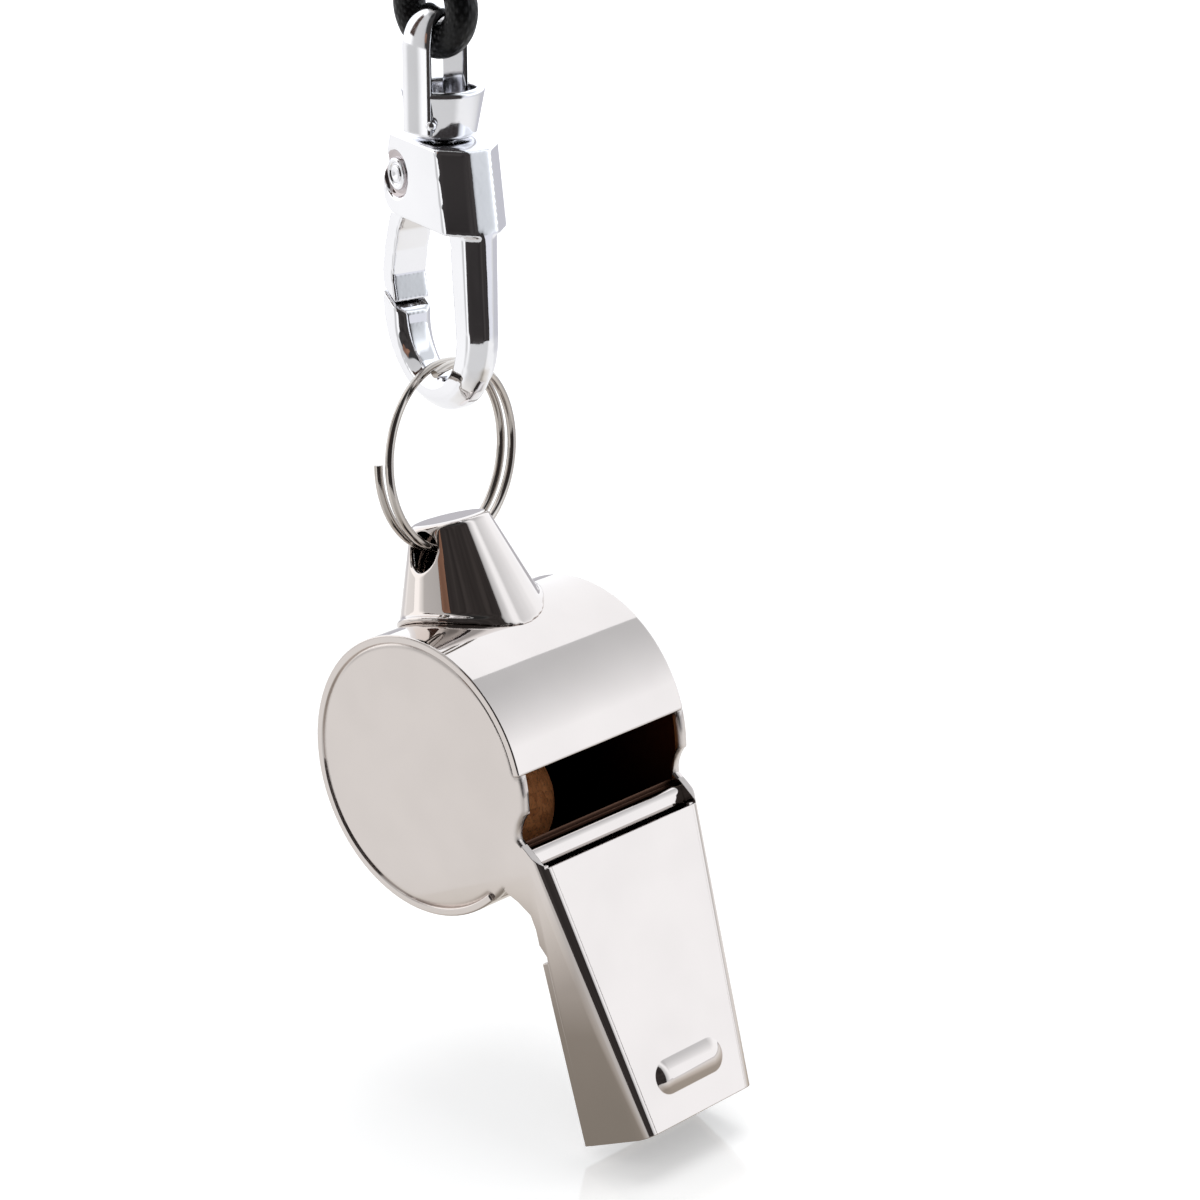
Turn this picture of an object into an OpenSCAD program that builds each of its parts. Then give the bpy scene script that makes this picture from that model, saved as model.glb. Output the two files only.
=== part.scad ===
// Sports whistle with a cork pea, hung by a split ring and a swivel snap hook on a cord.
// Lengths are in millimetres. X = 0 is under the top of the cord loop, +Z is up, and the
// barrel's axis lies along Y. The origin is where the cord loop bears on what carries it.

/* [Hanging height] */
// height of the cord loop's bearing point above the axis of the lug's hole
hang_height = 64; // [60:70]
// how far the chain's middle plane is behind the cord's middle plane
chain_offset = 0.7; // [0:0.1:1.2]
// how far the ring and the whistle hang in front of the snap hook's middle
whistle_offset = 0.5; // [0:0.1:1]

/* [Whistle barrel] */
// outer radius of the round barrel
barrel_radius = 11.5; // [10.5:0.1:12.5]
// overall width of the barrel's band
barrel_width = 18.9; // [16:0.1:21]
// thickness of the metal sheet
sheet = 0.65; // [0.5:0.05:0.8]
// how deep each cheek sits inside the band's edge
cheek_inset = 0.1; // [0.05:0.05:0.3]
// angle of the window's sharp lip above the mouthpiece's direction
lip_angle = 81; // [75:85]
// angle at which the band ends under the mouthpiece
band_end_angle = 19.6; // [15:0.1:25]
// lean of the mouthpiece from level, as it hangs
whistle_tilt = 65.1; // [55:0.1:75]

/* [Mouthpiece] */
// reach of the mouthpiece's end from the barrel's axis
mouth_reach = 32.08; // [30:0.1:36]
// width of the mouthpiece's end
mouth_width = 12.9; // [11:0.1:15]
// height of the mouthpiece's top at its end, above the barrel's axis
mouth_top = 9.09; // [8:0.1:10]
// height of the mouthpiece's underside at its end, above the barrel's axis
mouth_bottom = 1.81; // [1:0.1:3]
// reach of the window's straight edge from the barrel's axis
window_reach = 9.27; // [8:0.1:10]
// height of the window's straight edge above the barrel's axis
window_height = 10.29; // [9.5:0.1:11]
// outer radius of the bend between the top and each cheek
bend_radius = 1.2; // [0.8:0.1:1.6]
// clear height of the slit through which the air enters the window
slit_height = 0.55; // [0.4:0.05:0.8]
// how far the windway floor's nose stands out behind the window's straight edge
nose_overhang = 1.57; // [1.2:0.01:1.8]

/* [Tooth grip] */
// reach of the tooth grip's middle from the barrel's axis
grip_reach = 28.3; // [26:0.1:30]
// length of the tooth grip across the mouthpiece
grip_length = 7.7; // [6:0.1:9]
// width of the tooth grip
grip_width = 2.8; // [2:0.1:3.5]
// rise of the tooth grip above the top
grip_rise = 0.45; // [0.3:0.05:0.7]

/* [Lug] */
// angle of the lug from the mouthpiece's direction
lug_angle = 172.7; // [165:0.1:180]
// depth of the lug hole's axis below the lug's flat end
lug_hole_depth = 1.94; // [1.85:0.01:2.1]
// distance of the lug's flat end from the barrel's axis
lug_reach = 18.65; // [18:0.05:20]
// radius of the lug's flat end
lug_end_radius = 3.3; // [2.8:0.1:3.6]
// radius of the lug's cone where it meets the barrel
lug_base_radius = 5.7; // [5:0.1:6]
// radius of the lug's foot flange
lug_flange_radius = 6; // [5.5:0.1:6.5]
// rise of the lug's foot flange above the barrel
lug_flange_rise = 0.5; // [0.3:0.05:0.8]
// rounding of the lug's end edge
lug_edge = 0.55; // [0.3:0.05:0.8]
// radius of the hole through the lug
lug_hole_radius = 1.55; // [1.5:0.05:1.6]

/* [Pea] */
// radius of the cork ball
pea_radius = 6; // [5:0.1:6.5]
// gap between the ball and the inside of the barrel's band below it
pea_band_gap = 0.35; // [0.15:0.05:1]
// gap between the ball and the inside of the near cheek
pea_cheek_gap = 0.15; // [0.1:0.05:2]

/* [Split ring] */
// radius of the ring to the middle of its wire
ring_radius = 7.42; // [7.3:0.01:7.5]
// diameter of the ring's wire
ring_wire = 0.69; // [0.6:0.01:0.7]
// spacing of the two turns
ring_pitch = 1.1; // [1.1:0.01:1.14]
// depth of the wire's middle below the lug hole's axis
ring_seat = 0.35; // [0.3:0.05:0.4]
// how far the free end of the wire springs outward
ring_splay = 0; // [0:0.05:0.5]
// lean of the ring away from upright
ring_lean = 5; // [0:0.5:8]
// direction of the ring's plane
ring_heading = 97; // [90:0.5:98]

/* [Snap hook] */
// direction of the snap hook's plane
hook_heading = -15; // [-30:0]
// height of the block's underside above the lug's hole
block_bottom = 26.3; // [25:0.1:28]
// height of the block's top above the lug's hole
block_top = 32.8; // [31:0.1:34]
// thickness of the block
block_thickness = 5.6; // [5.2:0.1:6.5]
// reach of the block's front face at its top
block_front_top = 5.2; // [4.4:0.1:5.4]
// reach of the block's back face at its top
block_back_top = 3.7; // [3.3:0.1:4]
// reach of the block's back face where it bulges most
block_back_bottom = 4.9; // [4.3:0.1:5.2]
// height of the bulge above the block's underside
block_bulge = 2.8; // [2:0.1:3.4]
// width of the block's sloping front edges
block_chamfer = 1.75; // [1.4:0.05:1.9]
// width of the block's sloping back edges
block_back_chamfer = 0.25; // [0.2:0.05:0.6]
// rounding of the block's lower back corner
block_corner = 2; // [1:0.1:2.4]
// thickness of the block's top wall
block_roof = 1.2; // [1:0.1:1.5]
// width of the slot in the block
slot_width = 2.7; // [2.4:0.1:3]
// reach of the slot toward the front
slot_front = 3.2; // [2.8:0.1:3.6]
// depth of the eight-sided bar at the hook's lowest point
bar_depth = 2.6; // [2.4:0.05:2.8]
// depth of the bar where it enters the block
shank_depth = 4.35; // [3.8:0.05:4.6]
// thickness of the bar where it enters the block
bar_thickness = 3.1; // [3:0.05:3.6]
// thickness of the bar around the bend
bend_thickness = 2.8; // [2.6:0.05:3.1]
// width of the bar's sloping edges on the shank
bar_chamfer = 1.1; // [0.8:0.05:1.2]
// thickness of the bar at the nose
nose_thickness = 3.2; // [3:0.05:3.4]
// width of the bar's sloping edges at the nose
nose_chamfer = 0.6; // [0.4:0.05:0.8]
// outer radius of the hook's bend
bend_outer = 7.25; // [6.8:0.05:7.6]
// reach of the outer bend's centre from the chain's middle
bend_shift = -0.55; // [-1.5:0.05:0]
// inner radius of the hook's bend
bend_inner = 3.75; // [3.4:0.05:4]
// reach of the inner bend's centre from the chain's middle
inner_shift = -0.95; // [-1.2:0.05:-0.5]
// height of the hook's lowest point above the lug's hole
hook_bottom = 11; // [10.5:0.01:11.2]
// height of the joint between the nose and the gate
nose_height = 18.6; // [18:0.1:20]
// slope of the joint between the nose and the gate
nose_slope = 30; // [20:35]

/* [Gate] */
// reach of the gate's rivet behind the chain's middle
rivet_back = 2.8; // [2:0.1:3]
// height of the gate's rivet above the lug's hole
rivet_height = 29.6; // [29.3:0.1:30.5]
// radius of the gate's rivet
rivet_radius = 0.65; // [0.5:0.05:0.8]
// radius of the rivet's heads
rivet_head_radius = 1.3; // [1:0.1:1.4]
// radius of the recess around each rivet head
rivet_recess_radius = 1.85; // [1.5:0.05:2]
// depth of the recess around each rivet head
rivet_recess = 0.4; // [0.3:0.05:0.6]
// radius of the gate's knuckle
knuckle_radius = 1.2; // [1.1:0.05:1.3]
// thickness of the gate inside the slot
gate_tongue = 2.5; // [2.2:0.1:2.6]
// thickness of the gate below the block
gate_thickness = 3.1; // [2.8:0.1:3.3]
// depth of the gate's arm
gate_depth = 1.6; // [1.4:0.1:1.8]
// length of the gate's arm below its rivet
gate_run = 10; // [9.5:0.1:10.5]
// clearance between the gate's end and the nose
gate_gap = 0.2; // [0.15:0.05:0.3]
// running clearance of the rivet in the gate
rivet_clearance = 0.05; // [0.03:0.01:0.08]

/* [Gate spring] */
// radius of the spring to the middle of its wire
spring_radius = 0.5; // [0.4:0.05:0.6]
// diameter of the spring's wire
spring_wire = 0.28; // [0.2:0.02:0.3]
// number of turns of the spring
spring_turns = 4; // [3:5]
// reach of the spring's axis in front of the chain's middle
spring_front = 1.6; // [1.4:0.1:1.8]
// height of the spring's seat on the gate's heel, above the lug's hole
spring_seat = 27.9; // [27:0.1:28.5]

/* [Swivel eye] */
// gap between the block's top and the eye's cup
eye_gap = 0.3; // [0.2:0.05:0.5]
// outer radius of the eye's cup at its rim
cup_radius = 3.2; // [3:0.1:3.5]
// radius of the cup's underside
cup_foot_radius = 2.5; // [2:0.1:2.8]
// height of the cup
cup_height = 3.7; // [3.3:0.1:4]
// thickness of the cup's wall, floor and strap
eye_sheet = 0.7; // [0.6:0.05:0.8]
// width of the eye's strap
strap_width = 2.8; // [2.4:0.1:3.2]
// reach of the strap's back limb behind the chain's middle
strap_back = 1.8; // [1.6:0.1:2.4]
// height of the strap's crown above the lug's hole
crown_height = 43.3; // [43.1:0.1:44]
// radius of the swivel rivet
swivel_radius = 0.65; // [0.5:0.05:0.8]
// radius of the swivel rivet's lower head
swivel_foot_radius = 0.9; // [0.8:0.05:1]
// radius of the swivel rivet's upper head
swivel_head_radius = 1.15; // [1:0.05:1.4]
// thickness of the swivel rivet's heads
swivel_head = 0.5; // [0.4:0.05:0.7]
// running clearance of the swivel rivet
swivel_clearance = 0.05; // [0.03:0.01:0.08]

/* [Cord] */
// diameter of the cord
cord_diameter = 2.5; // [2:0.1:3]
// half the spacing of the strands beside the eye
bight_radius = 2.8; // [2.6:0.1:3.2]
// height of the strands' straight part beside the eye
bight_height = 43; // [42.5:0.1:43.2]
// half the spacing of the strands inside the ferrule
ferrule_strand = 1.35; // [1.25:0.05:1.6]
// height of the ferrule's lower end above the lug's hole
ferrule_bottom = 47.4; // [46:0.1:50]
// length of the ferrule
ferrule_length = 6; // [5:0.1:8]
// thickness of the ferrule's wall
ferrule_wall = 0.5; // [0.4:0.05:0.7]
// half the width of the upper loop, to the middle of its cord
loop_radius = 3.4; // [3:0.1:5]

/* [Hidden] */

// smoothness of the round faces and of the wire
$fn = 64;
arc_steps = 10;
wire_sides = 8;
wire_turn_steps = 36;
cord_sides = 8;

// how far a cutting shape passes the face that it cuts
pass = barrel_radius * 0.1;

// where the barrel's axis hangs below the lug's hole
lug_hole_reach = lug_reach - lug_hole_depth;
chamber_x = -lug_hole_reach * cos(lug_angle - whistle_tilt);
chamber_z = -lug_hole_reach * sin(lug_angle - whistle_tilt);

// the cheeks' outer face and the inside of the chamber
cheek_half = barrel_width / 2 - cheek_inset;
chamber_half = cheek_half - sheet;
chamber_radius = barrel_radius - sheet;

// where the ball lies: low in the chamber, beside the near cheek
pea_orbit = chamber_radius - pea_radius - pea_band_gap;
pea_side = chamber_half - pea_radius - pea_cheek_gap;

// the slopes of the mouthpiece's sides, top and underside
mouth_span = mouth_reach - window_reach;
taper_angle = atan((cheek_half - mouth_width / 2) / mouth_span);
top_slope = atan((window_height - mouth_top) / mouth_span);

// the kinks of the cheek's outline, as shares of the barrel's radius
notch_share = [1.442, 0.525];
throat_shares = [[1.4, 0.598], [1.309, 0.575], [1.2, 0.607], [1.091, 0.617], [0.985, 0.553],
    [0.909, 0.483]];
dip_shares = [[0.413, 0.902], [0.455, 0.842], [0.516, 0.783], [0.575, 0.763], [0.66, 0.815]];

// the underside of the mouthpiece: the floor sheet's outer and inner lines
notch_x = notch_share[0] * barrel_radius;
notch_z = notch_share[1] * barrel_radius;
under_slope = atan((notch_z - mouth_bottom) / (mouth_reach - notch_x));
sheet_rise = sheet / cos(under_slope);

// the nose of the windway floor, just under the top's inner face
top_inner_z = window_height - sheet / cos(top_slope);
nose_top = top_inner_z - slit_height;
nose_reach = window_reach - nose_overhang;
apron_top_angle = min(asin((nose_top - sheet * 0.84) / barrel_radius),
    acos(nose_reach / barrel_radius));

// the lug's cone
lug_cone_slope = (lug_base_radius - lug_end_radius) / (lug_reach - barrel_radius);

// the snap hook's bend and shank
outer_centre = [bend_shift, hook_bottom + bend_outer];
inner_centre = [inner_shift, hook_bottom + bar_depth + bend_inner];
block_front_bottom = bend_shift + bend_outer - 0.25 * bar_chamfer;
shank_inner = block_front_bottom - shank_depth;
nose_x = (bend_shift - bend_outer + inner_shift - bend_inner) / 2;

// the gate's outer face: how far behind the rivet and below it, as shares of the arm's length
gate_shares = [[0.12, -0.02], [0.2, -0.22], [0.34, -0.44], [0.41, -0.66], [0.46, -0.89],
    [0.43, -1.06], [0.41, -1.15]];
gate_reach = gate_run * 1.22;

// the spring's length under the block's roof
roof_z = block_top - block_roof;
spring_length = roof_z - spring_seat;

// the swivel eye's levels
cup_bottom = block_top + eye_gap;
cup_top = cup_bottom + cup_height;
arch_shift = (cup_radius - strap_back) / 2;
arch_radius = (cup_radius + strap_back) / 2;
arch_z = crown_height - arch_radius;

// the upper loop's top, to the middle of its cord
loop_top = hang_height + cord_diameter / 2;
loop_z = loop_top - loop_radius;
ferrule_top = ferrule_bottom + ferrule_length;
ferrule_middle = (ferrule_bottom + ferrule_top) / 2;
cord_end_gap = cord_diameter * 0.05;

// helpers

function unit(v) = v / norm(v);

function polar(radius, angle) = [radius * cos(angle), radius * sin(angle)];

// points on an arc about a centre
function arc(centre, radius, first, last, steps) =
    [for (i = [0:steps]) centre + polar(radius, first + (last - first) * i / steps)];

// direction of a path at one of its points
function heading(path, i) =
    unit(path[min(i + 1, len(path) - 1)] - path[max(i - 1, 0)]);

// one ring of points around a path
function hoop(path, i, up, radius, sides) =
    let (ahead = heading(path, i), side = unit(cross(up, ahead)), over = cross(ahead, side))
    [for (s = [0:sides - 1])
        path[i] + radius * cos(360 * s / sides) * side + radius * sin(360 * s / sides) * over];

// an unbroken round tube swept along a path
module tube(path, up, radius, sides) {
    count = len(path);
    points = [for (i = [0:count - 1]) each hoop(path, i, up, radius, sides)];
    walls = [for (i = [0:count - 2]) for (s = [0:sides - 1])
        let (a = i * sides + s, b = i * sides + (s + 1) % sides)
        each [[a, a + sides, b + sides], [a, b + sides, b]]];
    first_cap = [for (s = [1:sides - 2]) [0, s, s + 1]];
    last = (count - 1) * sides;
    last_cap = [for (s = [1:sides - 2]) [last, last + s + 1, last + s]];
    polyhedron(points = points, faces = concat(first_cap, walls, last_cap), convexity = 10);
}

// the snap hook and its swivel eye hang under the cord
module chain() {
    translate([0, chain_offset, -hang_height])
        children();
}

// the ring and the whistle hang a little in front of the snap hook's middle
module low_chain() {
    translate([whistle_offset, chain_offset, -hang_height])
        children();
}

module in_whistle() {
    low_chain()
        translate([chamber_x, 0, chamber_z])
            rotate([0, whistle_tilt, 0])
                children();
}

module in_hook() {
    chain()
        rotate([0, 0, hook_heading])
            children();
}

// a flat outline in the X-Z plane, thickened evenly both ways along Y
module plate(thickness) {
    rotate([90, 0, 0])
        linear_extrude(height = thickness, center = true)
            children();
}

// a round bar along Y
module cross_bar(radius, length) {
    rotate([90, 0, 0])
        cylinder(r = radius, h = length, center = true);
}

// the whistle

function top_line(x) = window_height - (x - window_reach) * tan(top_slope);
function under_line(x) = mouth_bottom + (mouth_reach - x) * tan(under_slope);
function half_width(x) = cheek_half - (x - window_reach) * tan(taper_angle);

// the sector of the barrel's side between two angles
module sector(radius, first, last) {
    polygon(concat([[0, 0]], arc([0, 0], radius, first, last, arc_steps * 2)));
}

module cheek_outline() {
    circle(r = chamber_radius);
    sector(barrel_radius, band_end_angle, band_end_angle + 9);
    sector(barrel_radius, 65.4, lip_angle);
    polygon(concat(
        [[0, 0]],
        dip_shares * barrel_radius,
        [[window_reach, window_height], [mouth_reach, mouth_top],
            [mouth_reach, mouth_bottom + sheet_rise],
            [notch_x, notch_z + sheet_rise]],
        throat_shares * barrel_radius
    ));
}

// the plan of the mouthpiece, inset from its outer sides, seen from above
module plan_outline(inset, back, front) {
    run = inset / cos(taper_angle);
    polygon([[-back, -cheek_half + inset], [window_reach, -cheek_half + inset],
        [mouth_reach + front, -half_width(mouth_reach + front) + run],
        [mouth_reach + front, half_width(mouth_reach + front) - run],
        [window_reach, cheek_half - inset], [-back, cheek_half - inset]]);
}

// the wedge outside the rounded bend, for one side
module bend_cutter() {
    length = mouth_span / cos(taper_angle) / cos(top_slope);
    translate([window_reach, cheek_half, window_height])
        rotate([0, top_slope, -taper_angle])
            translate([-pass, -bend_radius, -bend_radius])
                difference() {
                    cube([length + pass * 2, bend_radius + pass, bend_radius + pass]);
                    rotate([0, 90, 0])
                        translate([0, 0, -pass])
                            cylinder(r = bend_radius, h = length + pass * 4);
                }
}

// the rounded inner corner under the bend, for one side
module bend_fillet() {
    inner = bend_radius - sheet;
    length = mouth_span / cos(taper_angle) / cos(top_slope);
    translate([window_reach, cheek_half, window_height])
        rotate([0, top_slope, -taper_angle])
            translate([0, -bend_radius, -bend_radius])
                difference() {
                    cube([length - sheet, bend_radius - sheet / 2, bend_radius - sheet / 2]);
                    rotate([0, 90, 0])
                        translate([0, 0, -pass])
                            cylinder(r = inner, h = length + pass * 4);
                }
}

// the oblong swelling of the tooth grip, out to a given radius
module grip_swell(radius) {
    reach = (grip_length - grip_width) / 2;
    depth = (pow(grip_width / 2, 2) + pow(grip_rise, 2)) / (2 * grip_rise) - grip_rise;
    translate([grip_reach, 0, top_line(grip_reach)])
        rotate([0, top_slope, 0])
            translate([0, 0, -depth]) {
                cross_bar(radius, reach * 2);
                translate([0, reach, 0])
                    sphere(r = radius);
                translate([0, -reach, 0])
                    sphere(r = radius);
            }
}

module grip_slab(low, high) {
    translate([grip_reach, 0, top_line(grip_reach)])
        rotate([0, top_slope, 0])
            translate([-grip_width, -grip_length, low])
                cube([grip_width * 2, grip_length * 2, high - low]);
}

// the folded sheet: both cheeks and the mouthpiece's top
module body_shell() {
    swell = (pow(grip_width / 2, 2) + pow(grip_rise, 2)) / (2 * grip_rise);
    color([0.78, 0.77, 0.76])
        in_whistle()
            difference() {
                union() {
                    difference() {
                        intersection() {
                            plate(barrel_width)
                                cheek_outline();
                            translate([0, 0, -barrel_radius - pass])
                                linear_extrude(height = barrel_radius * 2 + pass * 3)
                                    plan_outline(0, barrel_radius + pass, 0);
                        }
                        intersection() {
                            plate(barrel_width)
                                polygon([[-barrel_radius - pass, -barrel_radius - pass],
                                    [mouth_reach + pass, -barrel_radius - pass],
                                    [mouth_reach + pass, top_line(mouth_reach + pass) - sheet],
                                    [window_reach, window_height - sheet],
                                    [window_reach, barrel_radius + pass],
                                    [-barrel_radius - pass, barrel_radius + pass]]);
                            translate([0, 0, -barrel_radius - pass * 2])
                                linear_extrude(height = barrel_radius * 2 + pass * 5)
                                    plan_outline(sheet, barrel_radius + pass * 2, pass);
                        }
                    }
                    intersection() {
                        grip_swell(swell);
                        grip_slab(-sheet / 2, grip_rise * 2);
                    }
                    bend_fillet();
                    mirror([0, 1, 0])
                        bend_fillet();
                }
                intersection() {
                    grip_swell(swell - sheet);
                    grip_slab(-sheet * 2, grip_rise * 2);
                }
                bend_cutter();
                mirror([0, 1, 0])
                    bend_cutter();
            }
}

// the band around the barrel, from the window's lip to the mouthpiece's throat
module barrel_band() {
    color([0.75, 0.74, 0.74])
        in_whistle()
            plate(barrel_width)
                difference() {
                    circle(r = barrel_radius);
                    circle(r = chamber_radius);
                    sector(barrel_radius * 2, band_end_angle, lip_angle);
                }
}

// the windway's floor: the mouthpiece's underside, the nose and the apron behind it
module windway_floor() {
    nose_bend = sheet * 1.2;
    inner_z = notch_z + sheet_rise;
    rise_angle = atan((nose_top - inner_z) / (notch_x - window_reach));
    nose_centre = [nose_reach + nose_bend * 0.6, nose_top - nose_bend];
    apron = arc([0, 0], barrel_radius, apron_top_angle, band_end_angle + 0.6, arc_steps);
    apron_back = arc([0, 0], chamber_radius, band_end_angle + 0.6, apron_top_angle + 2.5, arc_steps);
    color([0.7, 0.69, 0.69])
        in_whistle()
            intersection() {
                plate(barrel_width)
                    polygon(concat(
                        [[mouth_reach, mouth_bottom], [mouth_reach, mouth_bottom + sheet_rise],
                            [notch_x, inner_z], [window_reach, nose_top]],
                        arc(nose_centre, nose_bend, 90 - rise_angle, 190, arc_steps),
                        [for (i = [0:arc_steps]) apron_back[arc_steps - i]],
                        [for (i = [0:arc_steps]) apron[arc_steps - i]],
                        [[window_reach, nose_top - sheet_rise],
                            [notch_x - sheet * 0.2, notch_z + sheet * 0.06],
                            [notch_x, notch_z]]
                    ));
                union() {
                    translate([0, 0, -pass])
                        linear_extrude(height = barrel_radius * 2)
                            plan_outline(sheet, 0, 0);
                    intersection() {
                        translate([0, 0, -pass])
                            linear_extrude(height = barrel_radius * 2)
                                plan_outline(0, 0, 0);
                        translate([notch_x, -barrel_width / 2, -pass])
                            cube([mouth_reach, barrel_width, barrel_radius * 2]);
                    }
                }
            }
}

// the pressed lug on the barrel's back, hollow, with its hole and foot flange
module lanyard_lug() {
    inner_end = lug_reach - sheet;
    inner_radius = lug_end_radius + lug_cone_slope * sheet - sheet;
    skirt = barrel_radius - sheet * 3;
    edge_radius = lug_end_radius - lug_edge;
    color([0.72, 0.71, 0.7])
        in_whistle()
            difference() {
                union() {
                    rotate([0, 90 - lug_angle, 0])
                        rotate_extrude()
                            polygon(concat(
                                [[0, skirt],
                                    [lug_end_radius + lug_cone_slope * (lug_reach - skirt), skirt]],
                                arc([edge_radius, lug_reach - lug_edge], lug_edge, 15, 90, arc_steps),
                                [[0, lug_reach]]
                            ));
                    intersection() {
                        rotate([0, 90 - lug_angle, 0])
                            translate([0, 0, barrel_radius / 2])
                                cylinder(r = lug_flange_radius, h = barrel_radius);
                        cross_bar(barrel_radius + lug_flange_rise, barrel_width);
                    }
                }
                rotate([0, 90 - lug_angle, 0])
                    rotate_extrude()
                        polygon([[0, 0],
                            [inner_radius + lug_cone_slope * inner_end, 0],
                            [inner_radius, inner_end], [0, inner_end]]);
                cross_bar(barrel_radius, barrel_width + pass);
                rotate([0, 90 - lug_angle, 0])
                    translate([0, 0, lug_hole_reach])
                        cross_bar(lug_hole_radius, barrel_width);
            }
}

// the loose cork ball in the barrel
module cork_pea() {
    color([0.72, 0.47, 0.28])
        low_chain()
            translate([chamber_x, -pea_side, chamber_z - pea_orbit])
                sphere(r = pea_radius);
}

// the split ring

// the wire's angle at its free lower end and at its end inside the hook
ring_first_angle = 177;
ring_last_angle = 820;
ring_sweep_angle = ring_last_angle - ring_first_angle;
ring_steps = ceil(ring_sweep_angle / 360 * wire_turn_steps);
// the two turns pass through the lug at 270 and 630, and are centred between them
ring_middle_angle = 450;

function ring_point(angle) =
    let (
        free = max(0, 1 - (angle - ring_first_angle) / 60),
        out = ring_radius + ring_splay * free * free
    )
    [out * cos(angle), out * sin(angle), ring_pitch * (angle - ring_middle_angle) / 360];

function ring_curve() =
    [for (i = [0:ring_steps])
        ring_point(ring_first_angle + ring_sweep_angle * i / ring_steps)];

// straight square ends, one wire's diameter long
function ring_path() =
    let (
        curve = ring_curve(),
        count = len(curve),
        first_way = unit(curve[0] - curve[1]),
        last_way = unit(curve[count - 1] - curve[count - 2])
    )
    concat([curve[0] + first_way * ring_wire], curve,
        [curve[count - 1] + last_way * ring_wire]);

// the least gap between the two turns
function ring_gap() =
    let (curve = ring_curve(), count = len(curve))
    min([for (i = [0:count - 1])
        for (j = [i + floor(wire_turn_steps / 2):count - 1])
            if (j < count) norm(curve[i] - curve[j])]) - ring_wire;

module split_ring() {
    echo("least gap between the ring's turns", ring_gap());
    color([0.68, 0.63, 0.57])
        low_chain()
            translate([0, 0, -ring_seat])
                rotate([0, 0, ring_heading - 90])
                    rotate([0, -ring_lean, 0])
                        translate([0, 0, ring_radius])
                            rotate([0, 0, 90])
                                rotate([90, 0, 0])
                                    tube(ring_path(), [0, 0, 1], ring_wire / 2, wire_sides);
}

// the snap hook

// the bar's eight-sided section between a point on its outer face and one on its inner face
function section(outer, inner, half, cut) =
    let (way = unit(outer - inner), a = outer - way * cut, b = inner + way * cut)
    [[outer[0], -half + cut, outer[1]], [outer[0], half - cut, outer[1]],
        [a[0], half, a[1]], [b[0], half, b[1]],
        [inner[0], half - cut, inner[1]], [inner[0], -half + cut, inner[1]],
        [b[0], -half, b[1]], [a[0], -half, a[1]]];

// a solid through a row of sections of the same number of points
module through(sections) {
    sides = len(sections[0]);
    count = len(sections);
    walls = [for (i = [0:count - 2]) for (k = [0:sides - 1])
        let (a = i * sides + k, b = i * sides + (k + 1) % sides)
        each [[a, b + sides, a + sides], [a, b, b + sides]]];
    first_cap = [for (k = [1:sides - 2]) [0, k + 1, k]];
    last = (count - 1) * sides;
    last_cap = [for (k = [1:sides - 2]) [last, last + k, last + k + 1]];
    polyhedron(points = [for (one = sections) each one],
        faces = concat(first_cap, walls, last_cap), convexity = 10);
}

// the block's plan at one height, with its four upright edges sloped off
module block_plan(back, front) {
    t = block_thickness / 2;
    c = block_chamfer;
    b = block_back_chamfer;
    polygon([[front, -t + c], [front, t - c], [front - c, t], [-back + b, t],
        [-back, t - b], [-back, -t + b], [-back + b, -t], [front - c, -t]]);
}

module clasp_block() {
    thin = block_roof * 0.02;
    corner = [-block_back_bottom + block_corner, block_bottom + block_corner];
    difference() {
        hull() {
            translate([0, 0, block_top - thin])
                linear_extrude(height = thin)
                    block_plan(block_back_top, block_front_top);
            translate([0, 0, block_bottom + block_bulge])
                linear_extrude(height = thin)
                    block_plan(block_back_bottom, block_front_top);
            translate([0, 0, block_bottom])
                linear_extrude(height = thin)
                    block_plan(block_back_bottom, block_front_bottom);
        }
        // the rounded lower back corner
        plate(block_thickness + pass)
            polygon(concat([corner - [block_corner * 2, block_corner * 2]],
                [corner - [0, block_corner * 2]],
                arc(corner, block_corner, 270, 180, arc_steps),
                [corner - [block_corner * 2, 0]]));
        // the slot for the gate and its spring
        plate(slot_width)
            polygon([[-block_back_bottom - pass, block_bottom - pass],
                [shank_inner, block_bottom - pass],
                [shank_inner, block_bottom + bar_chamfer / 2],
                [slot_front, block_bottom + bar_chamfer / 2],
                [slot_front, roof_z], [-block_back_bottom - pass, roof_z]]);
        // the rivet's hole and its two recesses
        translate([-rivet_back, 0, rivet_height]) {
            cross_bar(rivet_radius, block_thickness + pass);
            translate([0, block_thickness / 2, 0])
                cross_bar(rivet_recess_radius, rivet_recess * 2);
            translate([0, -block_thickness / 2, 0])
                cross_bar(rivet_recess_radius, rivet_recess * 2);
        }
        // the swivel rivet's hole
        translate([0, 0, roof_z - pass])
            cylinder(r = swivel_radius + swivel_clearance, h = block_roof + pass * 2);
    }
}

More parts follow.
